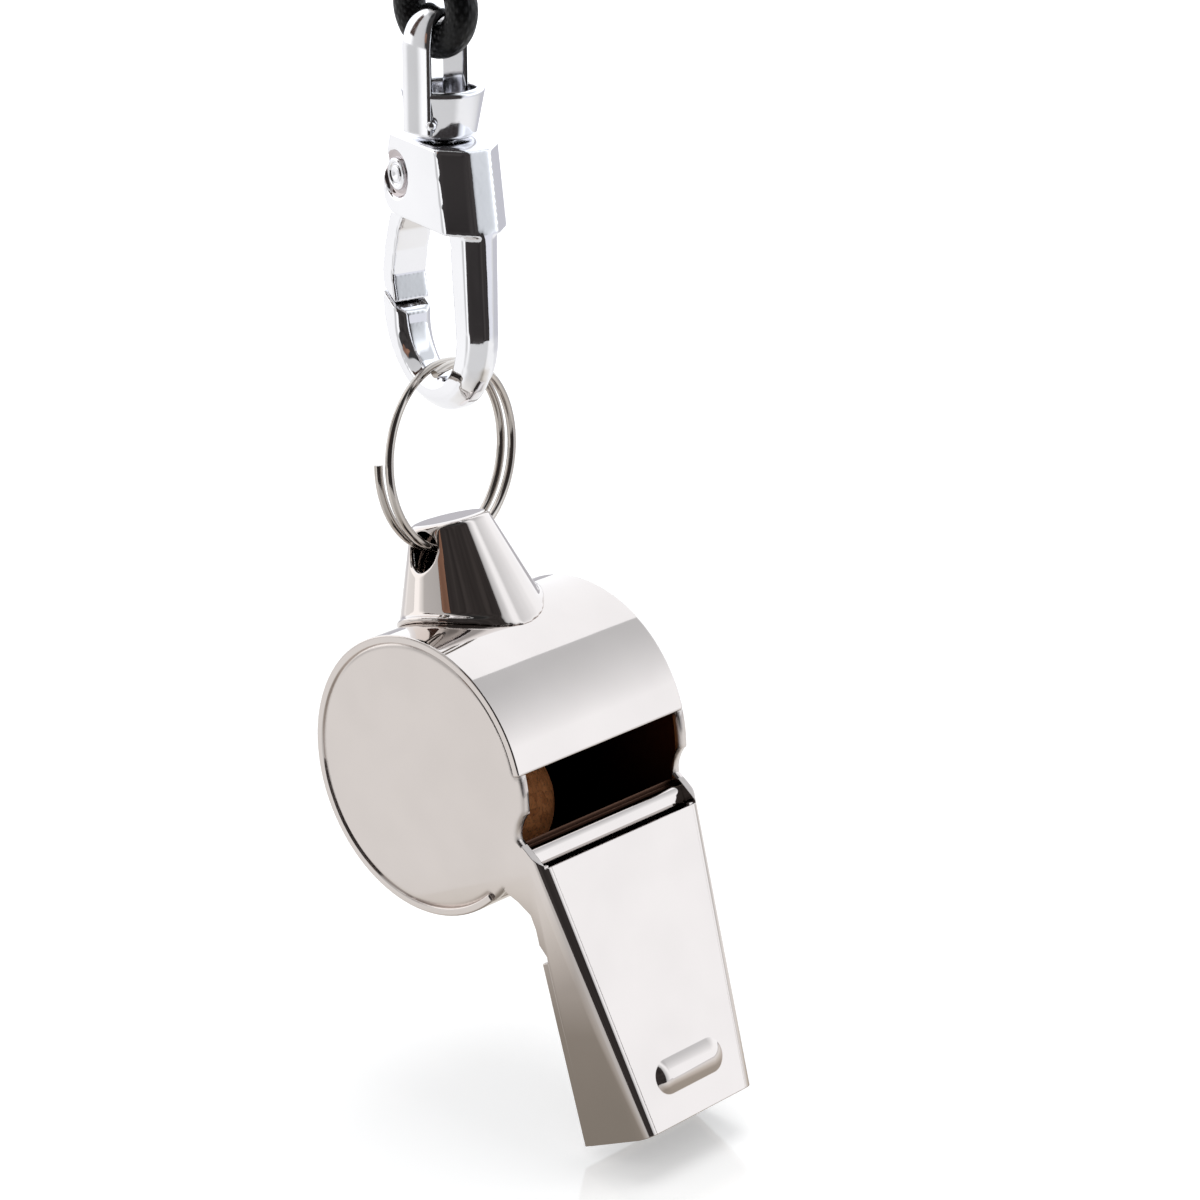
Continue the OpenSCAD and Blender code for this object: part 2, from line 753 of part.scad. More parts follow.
// the bar from inside the block down the shank, round the bend and up to the nose
module clasp_bar() {
    steps = 18;
    tip = nose_height + bar_depth;
    bend = [for (i = [0:steps])
        section(outer_centre + polar(bend_outer, -180 * i / steps),
            inner_centre + polar(bend_inner, -180 * i / steps),
            (bend_thickness + (nose_thickness - bend_thickness) * i / steps) / 2,
            bar_chamfer + (nose_chamfer - bar_chamfer) * i / steps)];
    top = [section([block_front_bottom, block_bottom + bar_chamfer / 4],
        [shank_inner, block_bottom + bar_chamfer / 4], bar_thickness / 2, bar_chamfer)];
    nose = [section([bend_shift - bend_outer, tip], [inner_shift - bend_inner, tip],
        nose_thickness / 2, nose_chamfer)];
    difference() {
        through(concat(top, bend, nose));
        translate([nose_x, 0, nose_height])
            rotate([0, nose_slope, 0])
                translate([-bar_depth * 2, -bar_thickness, 0])
                    cube([bar_depth * 4, bar_thickness * 2, bar_depth * 4]);
    }
}

module clasp_body() {
    color([0.8, 0.82, 0.86])
        in_hook() {
            clasp_block();
            clasp_bar();
        }
}

// the gate's outline about its rivet, cut by a reach
module gate_outline() {
    outer = [for (p = gate_shares) [-p[0], p[1]] * gate_run];
    inner = [for (i = [len(outer) - 1:-1:1])
        let (way = unit(outer[min(i + 1, len(outer) - 1)] - outer[i - 1]))
        outer[i] + gate_depth * [-way[1], way[0]]];
    circle(r = knuckle_radius);
    polygon(concat(outer, inner, [[knuckle_radius * 0.9, -knuckle_radius * 0.6]]));
}

// the gate's heel under the spring
module heel_outline() {
    seat = spring_seat - rivet_height;
    reach = spring_front + rivet_back + spring_radius + spring_wire;
    intersection() {
        polygon([[-knuckle_radius * 0.5, -knuckle_radius * 0.8],
            [knuckle_radius * 0.9, -knuckle_radius * 0.5],
            [reach - spring_radius * 3.4, seat], [reach, seat],
            [reach, seat - gate_depth * 0.5], [knuckle_radius * 0.4, seat - gate_depth * 0.7],
            [-knuckle_radius, seat]]);
        circle(r = reach * 1.11);
    }
}

module clasp_gate() {
    color([0.76, 0.78, 0.82])
        in_hook()
            translate([-rivet_back, 0, rivet_height])
                difference() {
                    union() {
                        plate(gate_tongue)
                            gate_outline();
                        plate(gate_tongue)
                            heel_outline();
                        intersection() {
                            plate(gate_thickness)
                                gate_outline();
                            translate([-gate_reach, -gate_thickness,
                                block_bottom - rivet_height - gate_reach - gate_gap * 2])
                                cube([gate_reach * 2, gate_thickness * 2, gate_reach]);
                        }
                    }
                    cross_bar(rivet_radius + rivet_clearance, block_thickness);
                    // the sloping end, clear of the nose
                    translate([nose_x + rivet_back, 0, nose_height - rivet_height])
                        rotate([0, nose_slope, 0])
                            translate([-bar_depth * 2, -bar_thickness, gate_gap - bar_depth * 4])
                                cube([bar_depth * 4, bar_thickness * 2, bar_depth * 4]);
                }
}

module gate_rivet() {
    head_out = block_thickness / 2 - rivet_recess;
    dome = rivet_recess * 0.95;
    color([0.74, 0.74, 0.74])
        in_hook()
            translate([-rivet_back, 0, rivet_height]) {
                cross_bar(rivet_radius, head_out * 2 + dome);
                for (side = [0, 180])
                    rotate([90, 0, side])
                        translate([0, 0, head_out])
                            cylinder(r1 = rivet_head_radius, r2 = rivet_head_radius * 0.75,
                                h = dome);
            }
}

// the small coil that presses the gate shut
function spring_path() =
    let (
        steps = spring_turns * wire_turn_steps,
        travel = spring_length - spring_wire,
        curve = [for (i = [0:steps])
            [spring_radius * cos(360 * spring_turns * i / steps),
                spring_radius * sin(360 * spring_turns * i / steps),
                spring_wire / 2 + travel * i / steps]],
        count = len(curve)
    )
    curve;

module gate_spring() {
    echo("least gap between the spring's turns",
        (spring_length - spring_wire) / spring_turns - spring_wire);
    color([0.7, 0.7, 0.7])
        in_hook()
            translate([spring_front, 0, spring_seat])
                tube(spring_path(), [0, 0, 1], spring_wire / 2, 6);
}

// the swivel eye

module swivel_eye() {
    inner = arch_radius - eye_sheet;
    foot = cup_bottom + eye_sheet;
    round = cup_radius - cup_foot_radius;
    color([0.74, 0.74, 0.76])
        chain() {
            // the cup
            difference() {
                rotate_extrude()
                    polygon(concat(
                        [[swivel_radius, cup_bottom]],
                        arc([cup_foot_radius, cup_bottom + round], round, -90, 0, arc_steps),
                        [[cup_radius, cup_top - eye_sheet * 0.3],
                            [cup_radius - eye_sheet * 0.3, cup_top],
                            [cup_radius - eye_sheet * 0.7, cup_top],
                            [cup_radius - eye_sheet, cup_top - eye_sheet * 0.3],
                            [cup_radius - eye_sheet, foot + round],
                            [cup_foot_radius - eye_sheet * 0.5, foot],
                            [swivel_radius, foot]]
                    ));
            }
            // the strap: front limb, arch and back limb
            rotate([0, 0, -90]) {
                translate([cup_radius - eye_sheet, -strap_width / 2, cup_bottom + cup_height * 0.4])
                    cube([eye_sheet, strap_width, arch_z - cup_bottom - cup_height * 0.4]);
                translate([-strap_back, -strap_width / 2, foot])
                    cube([eye_sheet, strap_width, arch_z - foot]);
                translate([arch_shift, 0, arch_z])
                    intersection() {
                        plate(strap_width)
                            difference() {
                                circle(r = arch_radius);
                                circle(r = inner);
                            }
                        translate([-cup_radius * 2, -strap_width, 0])
                            cube([cup_radius * 4, strap_width * 2, cup_radius * 2]);
                    }
            }
        }
}

module swivel_rivet() {
    foot = cup_bottom + eye_sheet;
    color([0.72, 0.72, 0.72])
        chain()
            rotate_extrude()
                polygon([[0, roof_z - swivel_clearance - swivel_head],
                    [swivel_foot_radius, roof_z - swivel_clearance - swivel_head],
                    [swivel_foot_radius, roof_z - swivel_clearance],
                    [swivel_radius, roof_z - swivel_clearance],
                    [swivel_radius, foot], [swivel_head_radius, foot],
                    [swivel_head_radius, foot + swivel_head * 0.5],
                    [swivel_head_radius * 0.6, foot + swivel_head], [0, foot + swivel_head]]);
}

// the cord

function ease(share) = (1 - cos(180 * share)) / 2;

// one strand from the ferrule's middle out to a bend, as spacing and height
function strand(from_z, throat_z, to_z, to_x, steps) =
    concat([[ferrule_strand, from_z], [ferrule_strand, (from_z + throat_z) / 2]],
        [for (i = [0:steps])
            [ferrule_strand + (to_x - ferrule_strand) * ease(i / steps),
                throat_z + (to_z - throat_z) * i / steps]]);

function both_strands(one, bend) =
    let (count = len(one))
    concat(
        [for (p = one) [-p[0], 0, p[1] - hang_height]],
        [for (p = bend) [p[0], 0, p[1] - hang_height]],
        [for (i = [count - 1:-1:0]) [one[i][0], 0, one[i][1] - hang_height]]
    );

function lower_route() =
    both_strands(
        strand(ferrule_middle - cord_end_gap, ferrule_bottom, bight_height, bight_radius, 6),
        [for (i = [1:arc_steps - 1])
            [0, bight_height] + polar(bight_radius, 180 + 180 * i / arc_steps)]
    );

function upper_route() =
    both_strands(
        strand(ferrule_middle + cord_end_gap, ferrule_top, loop_z, loop_radius, 8),
        [for (i = [1:arc_steps - 1])
            [0, loop_z] + polar(loop_radius, 180 - 180 * i / arc_steps)]
    );

// the lower bight, through the eye
module lanyard_cord() {
    color([0.06, 0.06, 0.07])
        tube(lower_route(), [0, 1, 0], cord_diameter / 2, cord_sides);
}

// the upper loop, by which it is hung
module lanyard_loop() {
    color([0.06, 0.06, 0.07])
        tube(upper_route(), [0, 1, 0], cord_diameter / 2, cord_sides);
}

// the crimped ferrule that grips all four strands
module ferrule_shape(radius, height) {
    for (side = [-1, 1])
        translate([side * ferrule_strand, 0, 0])
            cylinder(r = radius, h = height);
    translate([-ferrule_strand, -radius, 0])
        cube([ferrule_strand * 2, radius * 2, height]);
}

module cord_ferrule() {
    color([0.7, 0.7, 0.72])
        translate([0, 0, ferrule_bottom - hang_height])
            difference() {
                ferrule_shape(cord_diameter / 2 + ferrule_wall, ferrule_length);
                translate([0, 0, -pass])
                    ferrule_shape(cord_diameter / 2, ferrule_length + pass * 2);
            }
}

body_shell();
barrel_band();
windway_floor();
lanyard_lug();
cork_pea();
split_ring();
clasp_body();
clasp_gate();
gate_rivet();
gate_spring();
swivel_eye();
swivel_rivet();
lanyard_cord();
lanyard_loop();
cord_ferrule();
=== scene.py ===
"""Dresses the hanging pea whistle, its split ring, snap hook and cord for a studio picture."""

import logging
import math
from dataclasses import dataclass, replace
from enum import Enum
from typing import Optional, Sequence

import bmesh
import bpy
from mathutils import Matrix, Vector


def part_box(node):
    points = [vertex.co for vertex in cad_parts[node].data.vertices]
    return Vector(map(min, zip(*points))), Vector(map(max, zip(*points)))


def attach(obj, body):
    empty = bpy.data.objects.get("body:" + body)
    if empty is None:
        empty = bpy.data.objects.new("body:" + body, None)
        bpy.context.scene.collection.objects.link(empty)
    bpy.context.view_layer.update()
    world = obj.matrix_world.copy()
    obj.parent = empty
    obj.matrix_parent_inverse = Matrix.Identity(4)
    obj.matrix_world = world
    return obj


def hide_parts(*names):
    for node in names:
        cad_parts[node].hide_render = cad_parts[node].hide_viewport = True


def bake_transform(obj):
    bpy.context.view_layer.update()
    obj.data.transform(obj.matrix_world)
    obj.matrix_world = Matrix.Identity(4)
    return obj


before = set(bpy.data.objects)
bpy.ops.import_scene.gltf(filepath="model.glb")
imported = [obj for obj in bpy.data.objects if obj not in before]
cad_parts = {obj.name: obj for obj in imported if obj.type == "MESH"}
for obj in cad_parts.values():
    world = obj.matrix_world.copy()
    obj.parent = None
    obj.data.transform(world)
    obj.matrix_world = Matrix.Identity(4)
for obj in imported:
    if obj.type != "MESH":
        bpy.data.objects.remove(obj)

MM = 0.001
# height of the shared frame's zero above the lug's hole, in millimetres
HANG = 64.0
# how far the snap hook's middle stands behind that zero, in millimetres
DEPTH = 0.7
LOG = logging.getLogger("whistle")

Pair = tuple[float, float]
Point = tuple[float, float, float]
Colour = tuple[float, float, float]
Stops = Sequence[tuple[float, "float | Colour"]]
Socket = bpy.types.NodeSocket
Piece = bpy.types.Object


class Body(str, Enum):
    """The moving bodies that the pieces ride on."""

    LANYARD = "lanyard"
    EYE = "eye"
    CLASP = "clasp"
    GATE = "gate"
    RING = "ring"
    WHISTLE = "whistle"
    PEA = "pea"


class Grain(str, Enum):
    """How a metal's surface was finished."""

    PLATED = "plated"
    CAST = "cast"
    DRAWN = "drawn"


# materials


class ShaderBench:
    """A material's node tree, with the few kinds of nodes that the finishes share."""

    def __init__(self, name: str) -> None:
        """Starts a material with a plain shader.

        Args:
            name: the material's name.
        """
        self.material = bpy.data.materials.new(name)
        self.material.use_nodes = True
        self.tree = self.material.node_tree
        self.tree.nodes.clear()
        self.output = self.node("ShaderNodeOutputMaterial")
        self.shader = self.node("ShaderNodeBsdfPrincipled")
        self.show(self.shader.outputs["BSDF"])

    def feed(self, target: Socket, value: object) -> None:
        """Joins a socket to another one, or sets it to a constant.

        Args:
            target: the socket to feed.
            value: the other socket, or a number, a colour or a point.
        """
        if isinstance(value, bpy.types.NodeSocket):
            self.tree.links.new(value, target)
        elif target.type == "RGBA":
            target.default_value = (*value, 1.0)
        else:
            target.default_value = value

    def node(self, kind: str, values: "Optional[dict[int | str, object]]" = None,
             **settings: object) -> bpy.types.Node:
        """Adds a node.

        Args:
            kind: the node's type.
            values: what each of its sockets is fed with.
            settings: the node's own settings.

        Returns:
            The node.
        """
        node = self.tree.nodes.new(kind)
        for name, setting in settings.items():
            setattr(node, name, setting)
        for name, value in (values or {}).items():
            self.feed(node.inputs[name], value)
        return node

    def coat(self, values: dict[str, object]) -> None:
        """Feeds the plain shader's own sockets."""
        for name, value in values.items():
            self.feed(self.shader.inputs[name], value)

    def show(self, surface: Socket) -> None:
        """Sends a shader to the material's surface."""
        self.feed(self.output.inputs["Surface"], surface)

    def glow(self, colour: "Colour | Socket", strength: "float | Socket" = 1.0) -> Socket:
        """Adds plain light and returns its shader."""
        return self.node("ShaderNodeEmission",
                         {"Color": colour, "Strength": strength}).outputs["Emission"]

    def place(self, scale: Point = (1.0, 1.0, 1.0), turn: Point = (0.0, 0.0, 0.0),
              layer: str = "") -> Socket:
        """Gives coordinates to a pattern.

        Args:
            scale: stretch along each axis.
            turn: turn about each axis, in radians.
            layer: name of a UV layer, or empty for the object's own coordinates.

        Returns:
            The vector socket.
        """
        if layer:
            source = self.node("ShaderNodeUVMap", uv_map=layer).outputs["UV"]
        else:
            source = self.node("ShaderNodeTexCoord").outputs["Object"]
        return self.node("ShaderNodeMapping", {"Vector": source, "Scale": scale,
                                               "Rotation": turn}).outputs["Vector"]

    def noise(self, where: Socket, scale: float, detail: float = 3.0, rough: float = 0.5,
              output: str = "Fac") -> Socket:
        """Adds a noise pattern and returns one of its outputs."""
        values = {"Vector": where, "Scale": scale, "Detail": detail, "Roughness": rough}
        return self.node("ShaderNodeTexNoise", values).outputs[output]

    def cells(self, where: Socket, scale: float, output: str, feature: str = "F1") -> Socket:
        """Adds a cell pattern and returns one of its outputs."""
        return self.node("ShaderNodeTexVoronoi", {"Vector": where, "Scale": scale},
                         feature=feature).outputs[output]

    def spread(self, value: Socket, low: float, high: float, to_low: float = 0.0,
               to_high: float = 1.0) -> Socket:
        """Maps a range of values to another one, without running past it.

        Args:
            value: the value to map.
            low: where its range starts.
            high: where its range ends.
            to_low: what low becomes.
            to_high: what high becomes.

        Returns:
            The mapped value.
        """
        names = ("Value", "From Min", "From Max", "To Min", "To Max")
        values = dict(zip(names, (value, low, high, to_low, to_high)))
        return self.node("ShaderNodeMapRange", values, clamp=True).outputs["Result"]

    def maths(self, kind: str, first: Socket, second: "float | Socket" = 0.0) -> Socket:
        """Adds a sum, product or other operation on two values."""
        return self.node("ShaderNodeMath", {0: first, 1: second},
                         operation=kind).outputs["Value"]

    def vector(self, kind: str, first: Socket,
               second: "Point | Socket" = (0.0, 0.0, 0.0)) -> Socket:
        """Adds an operation on two vectors, and returns its vector or its number."""
        node = self.node("ShaderNodeVectorMath", {0: first, 1: second}, operation=kind)
        return node.outputs["Value" if kind in ("DOT_PRODUCT", "LENGTH") else "Vector"]

    def blend(self, share: Socket, first: "Colour | Socket",
              second: "Colour | Socket") -> Socket:
        """Mixes two colours by a value.

        Args:
            share: the second colour's share.
            first: the colour at nought.
            second: the colour at one.

        Returns:
            The mixed colour.
        """
        node = self.node("ShaderNodeMix", {"Factor": share}, data_type="RGBA")
        sockets = [s for s in node.inputs if s.type == "RGBA"]
        for socket, colour in zip(sockets, (first, second)):
            self.feed(socket, colour)
        return [s for s in node.outputs if s.type == "RGBA"][0]

    def ramp(self, value: Socket, stops: Stops) -> Socket:
        """Turns a value into a brightness or a colour.

        Args:
            value: a value from nought to one.
            stops: places from nought to one, each with its brightness or colour.

        Returns:
            The colour.
        """
        node = self.node("ShaderNodeValToRGB", {"Fac": value})
        keys = node.color_ramp.elements
        while len(keys) < len(stops):
            keys.new(0.5)
        for key, (place, level) in zip(keys, stops):
            key.position = place
            colour = level if isinstance(level, tuple) else (level, level, level)
            key.color = (*colour, 1.0)
        return node.outputs["Color"]

    def azimuth(self) -> Socket:
        """Adds a place's azimuth about the upright axis.

        Returns:
            The azimuth, from nought to one.
        """
        part = self.node("ShaderNodeSeparateXYZ", {"Vector": self.place()}).outputs
        around = self.maths("ARCTAN2", part["Y"], part["X"])
        return self.maths("ADD", self.maths("MULTIPLY", around, 0.5 / math.pi), 0.5)

    def ramp_round(self, around: Socket, stops: Stops) -> Socket:
        """Turns an azimuth into a brightness or a colour, by stops in degrees."""
        return self.ramp(around, [((a + 180.0) / 360.0, level) for a, level in stops])

    def relief(self, height: Socket, depth: float, edge: "float | Socket" = 0.0) -> None:
        """Puts a pattern's relief on the surface, with its edges softened.

        Args:
            height: the pattern.
            depth: how deep the relief is, in metres.
            edge: radius to which sharp edges are softened, in metres.
        """
        bump = self.node("ShaderNodeBump",
                         {"Strength": 1.0, "Distance": depth, "Height": height})
        if edge:
            bevel = self.node("ShaderNodeBevel", {"Radius": edge}, samples=8)
            self.feed(bump.inputs["Normal"], bevel.outputs["Normal"])
        self.coat({"Normal": bump.outputs["Normal"]})


# scale, detail and roughness of each noise
SWELLS = (170.0, 2.0)
GRIT = (2600.0, 4.0, 0.6)
RAGS = (2300.0, 4.0, 0.7)
MOTTLE = (3600.0, 5.0, 0.65)
FUZZ = (5200.0, 3.0)
# the noise of a grain that isn't plain, its stretch and its share of the relief
MARKS = {Grain.CAST: ((520.0, 3.0, 0.55), (1.0, 1.0, 1.0), 0.35),
         Grain.DRAWN: ((2400.0, 2.0), (1.0, 1.0, 0.12), 0.2)}
# lets a patch without a hole reach its own axis, in square metres
SLACK = 1e-9


@dataclass(frozen=True)
class Patch:
    """A round part of a surface, about an axis, that is unlike the rest; in metres."""

    centre: Point
    axis: Point
    inner: float
    outer: float
    reach: float
    tint: Colour
    dull: float = 0.3
    torn: float = 0.0

    def mask(self, bench: ShaderBench) -> Socket:
        """Adds the nodes that tell the patch from the rest.

        Args:
            bench: the material being made.

        Returns:
            One on the patch, and nought off it.
        """
        shift = bench.vector("SUBTRACT", bench.place(), self.centre)
        along = bench.vector("DOT_PRODUCT", shift, self.axis)
        whole = bench.vector("DOT_PRODUCT", shift, shift)
        off = bench.maths("SUBTRACT", whole, bench.maths("MULTIPLY", along, along))
        on = bench.maths("MULTIPLY", bench.maths("LESS_THAN", off, self.outer ** 2),
                         bench.maths("GREATER_THAN", off, self.inner ** 2 - SLACK))
        side = bench.maths("ABSOLUTE", along)
        on = bench.maths("MULTIPLY", on, bench.maths("LESS_THAN", side, self.reach))
        if self.torn:
            rag = bench.noise(bench.place(), *RAGS)
            on = bench.maths("MULTIPLY", on, bench.spread(rag, 0.5 - self.torn, 0.5))
        return on


@dataclass(frozen=True)
class MetalFinish:
    """A bright metal, with the faint unevenness of how it was made, and patches: painted shade
    in hollows, and a real filed mark.
    """

    name: str
    tint: Colour
    shade: Colour
    grain: Grain
    roughness: float
    ripple: float
    edge: float
    patches: tuple[Patch, ...] = ()
    rim: Optional[Patch] = None
    rim_edge: float = 0.0006

    def build(self) -> bpy.types.Material:
        """Makes the material.

        Returns:
            The material, with its patterns in the object's own coordinates.
        """
        bench = ShaderBench(self.name)
        here = bench.place()
        height = bench.noise(here, *SWELLS)
        colour = bench.blend(bench.spread(height, 0.35, 0.7), self.tint, self.shade)
        wear = bench.spread(bench.noise(here, *GRIT), 0.3, 0.75,
                            self.roughness * 0.7, self.roughness * 1.5)
        # each patch's tint: painted shade in the chamber and the rivet's recess, and the real
        # filed mark at the hook's nose
        for patch in self.patches:
            inside = patch.mask(bench)
            colour = bench.blend(inside, colour, patch.tint)
            wear = bench.maths("ADD", wear, bench.maths("MULTIPLY", inside, patch.dull))
        bench.coat({"Metallic": 1.0, "Base Color": colour, "Roughness": wear})
        if self.grain in MARKS:
            pattern, stretch, share = MARKS[self.grain]
            marks = bench.noise(bench.place(stretch), *pattern)
            height = bench.maths("ADD", height, bench.maths("MULTIPLY", marks, share))
        edge = self.edge
        if self.rim:
            wide = bench.maths("MULTIPLY", self.rim.mask(bench), self.rim_edge)
            edge = bench.maths("ADD", wide, self.edge)
        bench.relief(height, self.ripple, edge)
        return bench.material


@dataclass(frozen=True)
class CorkFinish:
    """Ground cork, in granules of several browns with dark pits between them."""

    name: str = "cork grain"
    light: Colour = (0.78, 0.31, 0.115)
    middle: Colour = (0.52, 0.18, 0.06)
    dark: Colour = (0.2, 0.065, 0.024)
    granules: float = 1500.0
    drift: float = 0.0009
    pits: float = 0.00005

    def build(self) -> bpy.types.Material:
        """Makes the material.

        Returns:
            The material, with its granules in the ball's own coordinates.
        """
        bench = ShaderBench(self.name)
        here = bench.place()
        push = bench.noise(here, self.granules, 2.0, 0.5, "Color")
        torn = bench.vector("ADD", here, bench.vector("MULTIPLY", push, (self.drift,) * 3))
        granule = bench.cells(torn, self.granules, "Color")
        tone = bench.node("ShaderNodeSeparateColor", {"Color": granule}).outputs["Red"]
        mottle = bench.noise(here, *MOTTLE)
        seam = bench.spread(bench.cells(torn, self.granules, "Distance", "DISTANCE_TO_EDGE"),
                            0.0, 0.06, 0.35, 0.0)
        base = bench.blend(tone, self.middle, self.light)
        for share in (bench.spread(mottle, 0.52, 0.7, 0.0, 0.75), seam):
            base = bench.blend(share, base, self.dark)
        bench.coat({"Base Color": base, "Specular IOR Level": 0.1,
                    "Roughness": bench.spread(mottle, 0.3, 0.7, 0.62, 0.9)})
        bench.relief(bench.maths("SUBTRACT", mottle, seam), self.pits)
        return bench.material


@dataclass(frozen=True)
class CordFinish:
    """A black round cord with a tight braid and a slight gloss."""

    name: str = "black braid"
    face: Colour = (0.006, 0.006, 0.007)
    gap: Colour = (0.002, 0.002, 0.0022)
    layer: str = "braid"
    slant: float = 0.62
    bands: float = 5.5
    depth: float = 0.00003

    def build(self) -> bpy.types.Material:
        """Makes the material.

        Returns:
            The material, with its braid in the cord's own UV layer.
        """
        bench = ShaderBench(self.name)
        left, right = [bench.node(
            "ShaderNodeTexWave",
            {"Vector": bench.place(turn=(0.0, 0.0, turn), layer=self.layer),
             "Scale": self.bands, "Distortion": 0.15}, bands_direction="X").outputs["Fac"]
            for turn in (self.slant, -self.slant)]
        weave = bench.maths("MULTIPLY", left, right)
        fuzz = bench.noise(bench.place(), *FUZZ)
        bench.coat({"Base Color": bench.blend(bench.spread(weave, 0.1, 0.6), self.gap,
                                              self.face),
                    "Roughness": bench.spread(fuzz, 0.3, 0.7, 0.3, 0.46),
                    "Specular IOR Level": 0.28})
        bench.relief(bench.maths("ADD", weave, bench.maths("MULTIPLY", fuzz, 0.2)),
                     self.depth)
        return bench.material


# painted shade: the chamber's inside, and the windway floor's roll within it, take this dark
# brown tint and are dulled
CHAMBER_SHADE: Colour = (0.10, 0.055, 0.038)
BARREL_SHADE = Patch((0.005553, 0.0007, -0.079928), (0.0, 1.0, 0.0), 0.0, 0.01087, 0.00872, CHAMBER_SHADE)
ROLL = replace(BARREL_SHADE, outer=0.01149)
CHEEK_RIM = replace(BARREL_SHADE, inner=0.0101, outer=0.0115, reach=0.0100)
HOOK_SIDE: Point = (0.258819, 0.965926, 0.0)
# painted shade in the recess round the gate's rivet: a darker grey tint
RECESS_SHADE = Patch((-0.0027046, 0.0014247, -0.0344), HOOK_SIDE, 0.00131, 0.00187, 0.00268,
               (0.5, 0.45, 0.455), 0.05)
FILED = Patch((-0.0058, 0.0023, -0.0462), HOOK_SIDE, 0.0, 0.00085, 0.0013,
              (0.1, 0.09, 0.085), 0.2, 0.12)
# the plated pieces carry the chamber's painted shade
NICKEL = MetalFinish("polished nickel plate", (0.665, 0.615, 0.588), (0.64, 0.592, 0.566),
                     Grain.PLATED, 0.045, 0.000008, 0.0001, (BARREL_SHADE,))
NICKEL_SHELL = replace(NICKEL, name="polished nickel shell", rim=CHEEK_RIM)
NICKEL_ROLL = replace(NICKEL, name="polished nickel floor", roughness=0.06, patches=(ROLL,))
CHROME = MetalFinish("bright hook chrome", (0.89, 0.89, 0.915), (0.85, 0.85, 0.875),
                     Grain.CAST, 0.05, 0.000016, 0.00012)
# the hook's body carries the recess's painted shade and the real filed mark at the nose
CHROME_BODY = replace(CHROME, name="filed hook chrome", ripple=0.00002,
                      patches=(RECESS_SHADE, FILED))
EYE_CHROME = replace(CHROME, name="bright eye chrome", roughness=0.11, edge=0.0002)
WIRE = MetalFinish("split ring wire", (0.62, 0.575, 0.535), (0.46, 0.42, 0.385),
                   Grain.DRAWN, 0.12, 0.00001, 0.0)
STEEL = MetalFinish("turned pin steel", (0.60, 0.59, 0.58), (0.5, 0.49, 0.48),
                    Grain.DRAWN, 0.16, 0.000006, 0.00008)


# shared modelling


def stand(name: str, data: bpy.types.ID) -> Piece:
    """Adds an object to the scene.

    Args:
        name: the object's name.
        data: its mesh, camera or light.

    Returns:
        The object.
    """
    piece = bpy.data.objects.new(name, data)
    bpy.context.scene.collection.objects.link(piece)
    return piece


def mesh_piece(name: str, points: Sequence[Sequence[float]],
               faces: Sequence[Sequence[int]], edges: Sequence[Sequence[int]] = ()) -> Piece:
    """Makes a piece from its points.

    Args:
        name: the piece's name.
        points: the points, in metres.
        faces: the faces, by the numbers of their points.
        edges: the edges that no face has.

    Returns:
        The piece.
    """
    mesh = bpy.data.meshes.new(name)
    mesh.from_pydata([tuple(p) for p in points], edges, faces)
    mesh.update()
    return stand(name, mesh)


def arc(middle: Pair, radius: float, angles: Sequence[float]) -> list[Pair]:
    """Gives the points of an arc, at angles in degrees."""
    return [(middle[0] + radius * math.cos(math.radians(a)),
             middle[1] + radius * math.sin(math.radians(a))) for a in angles]


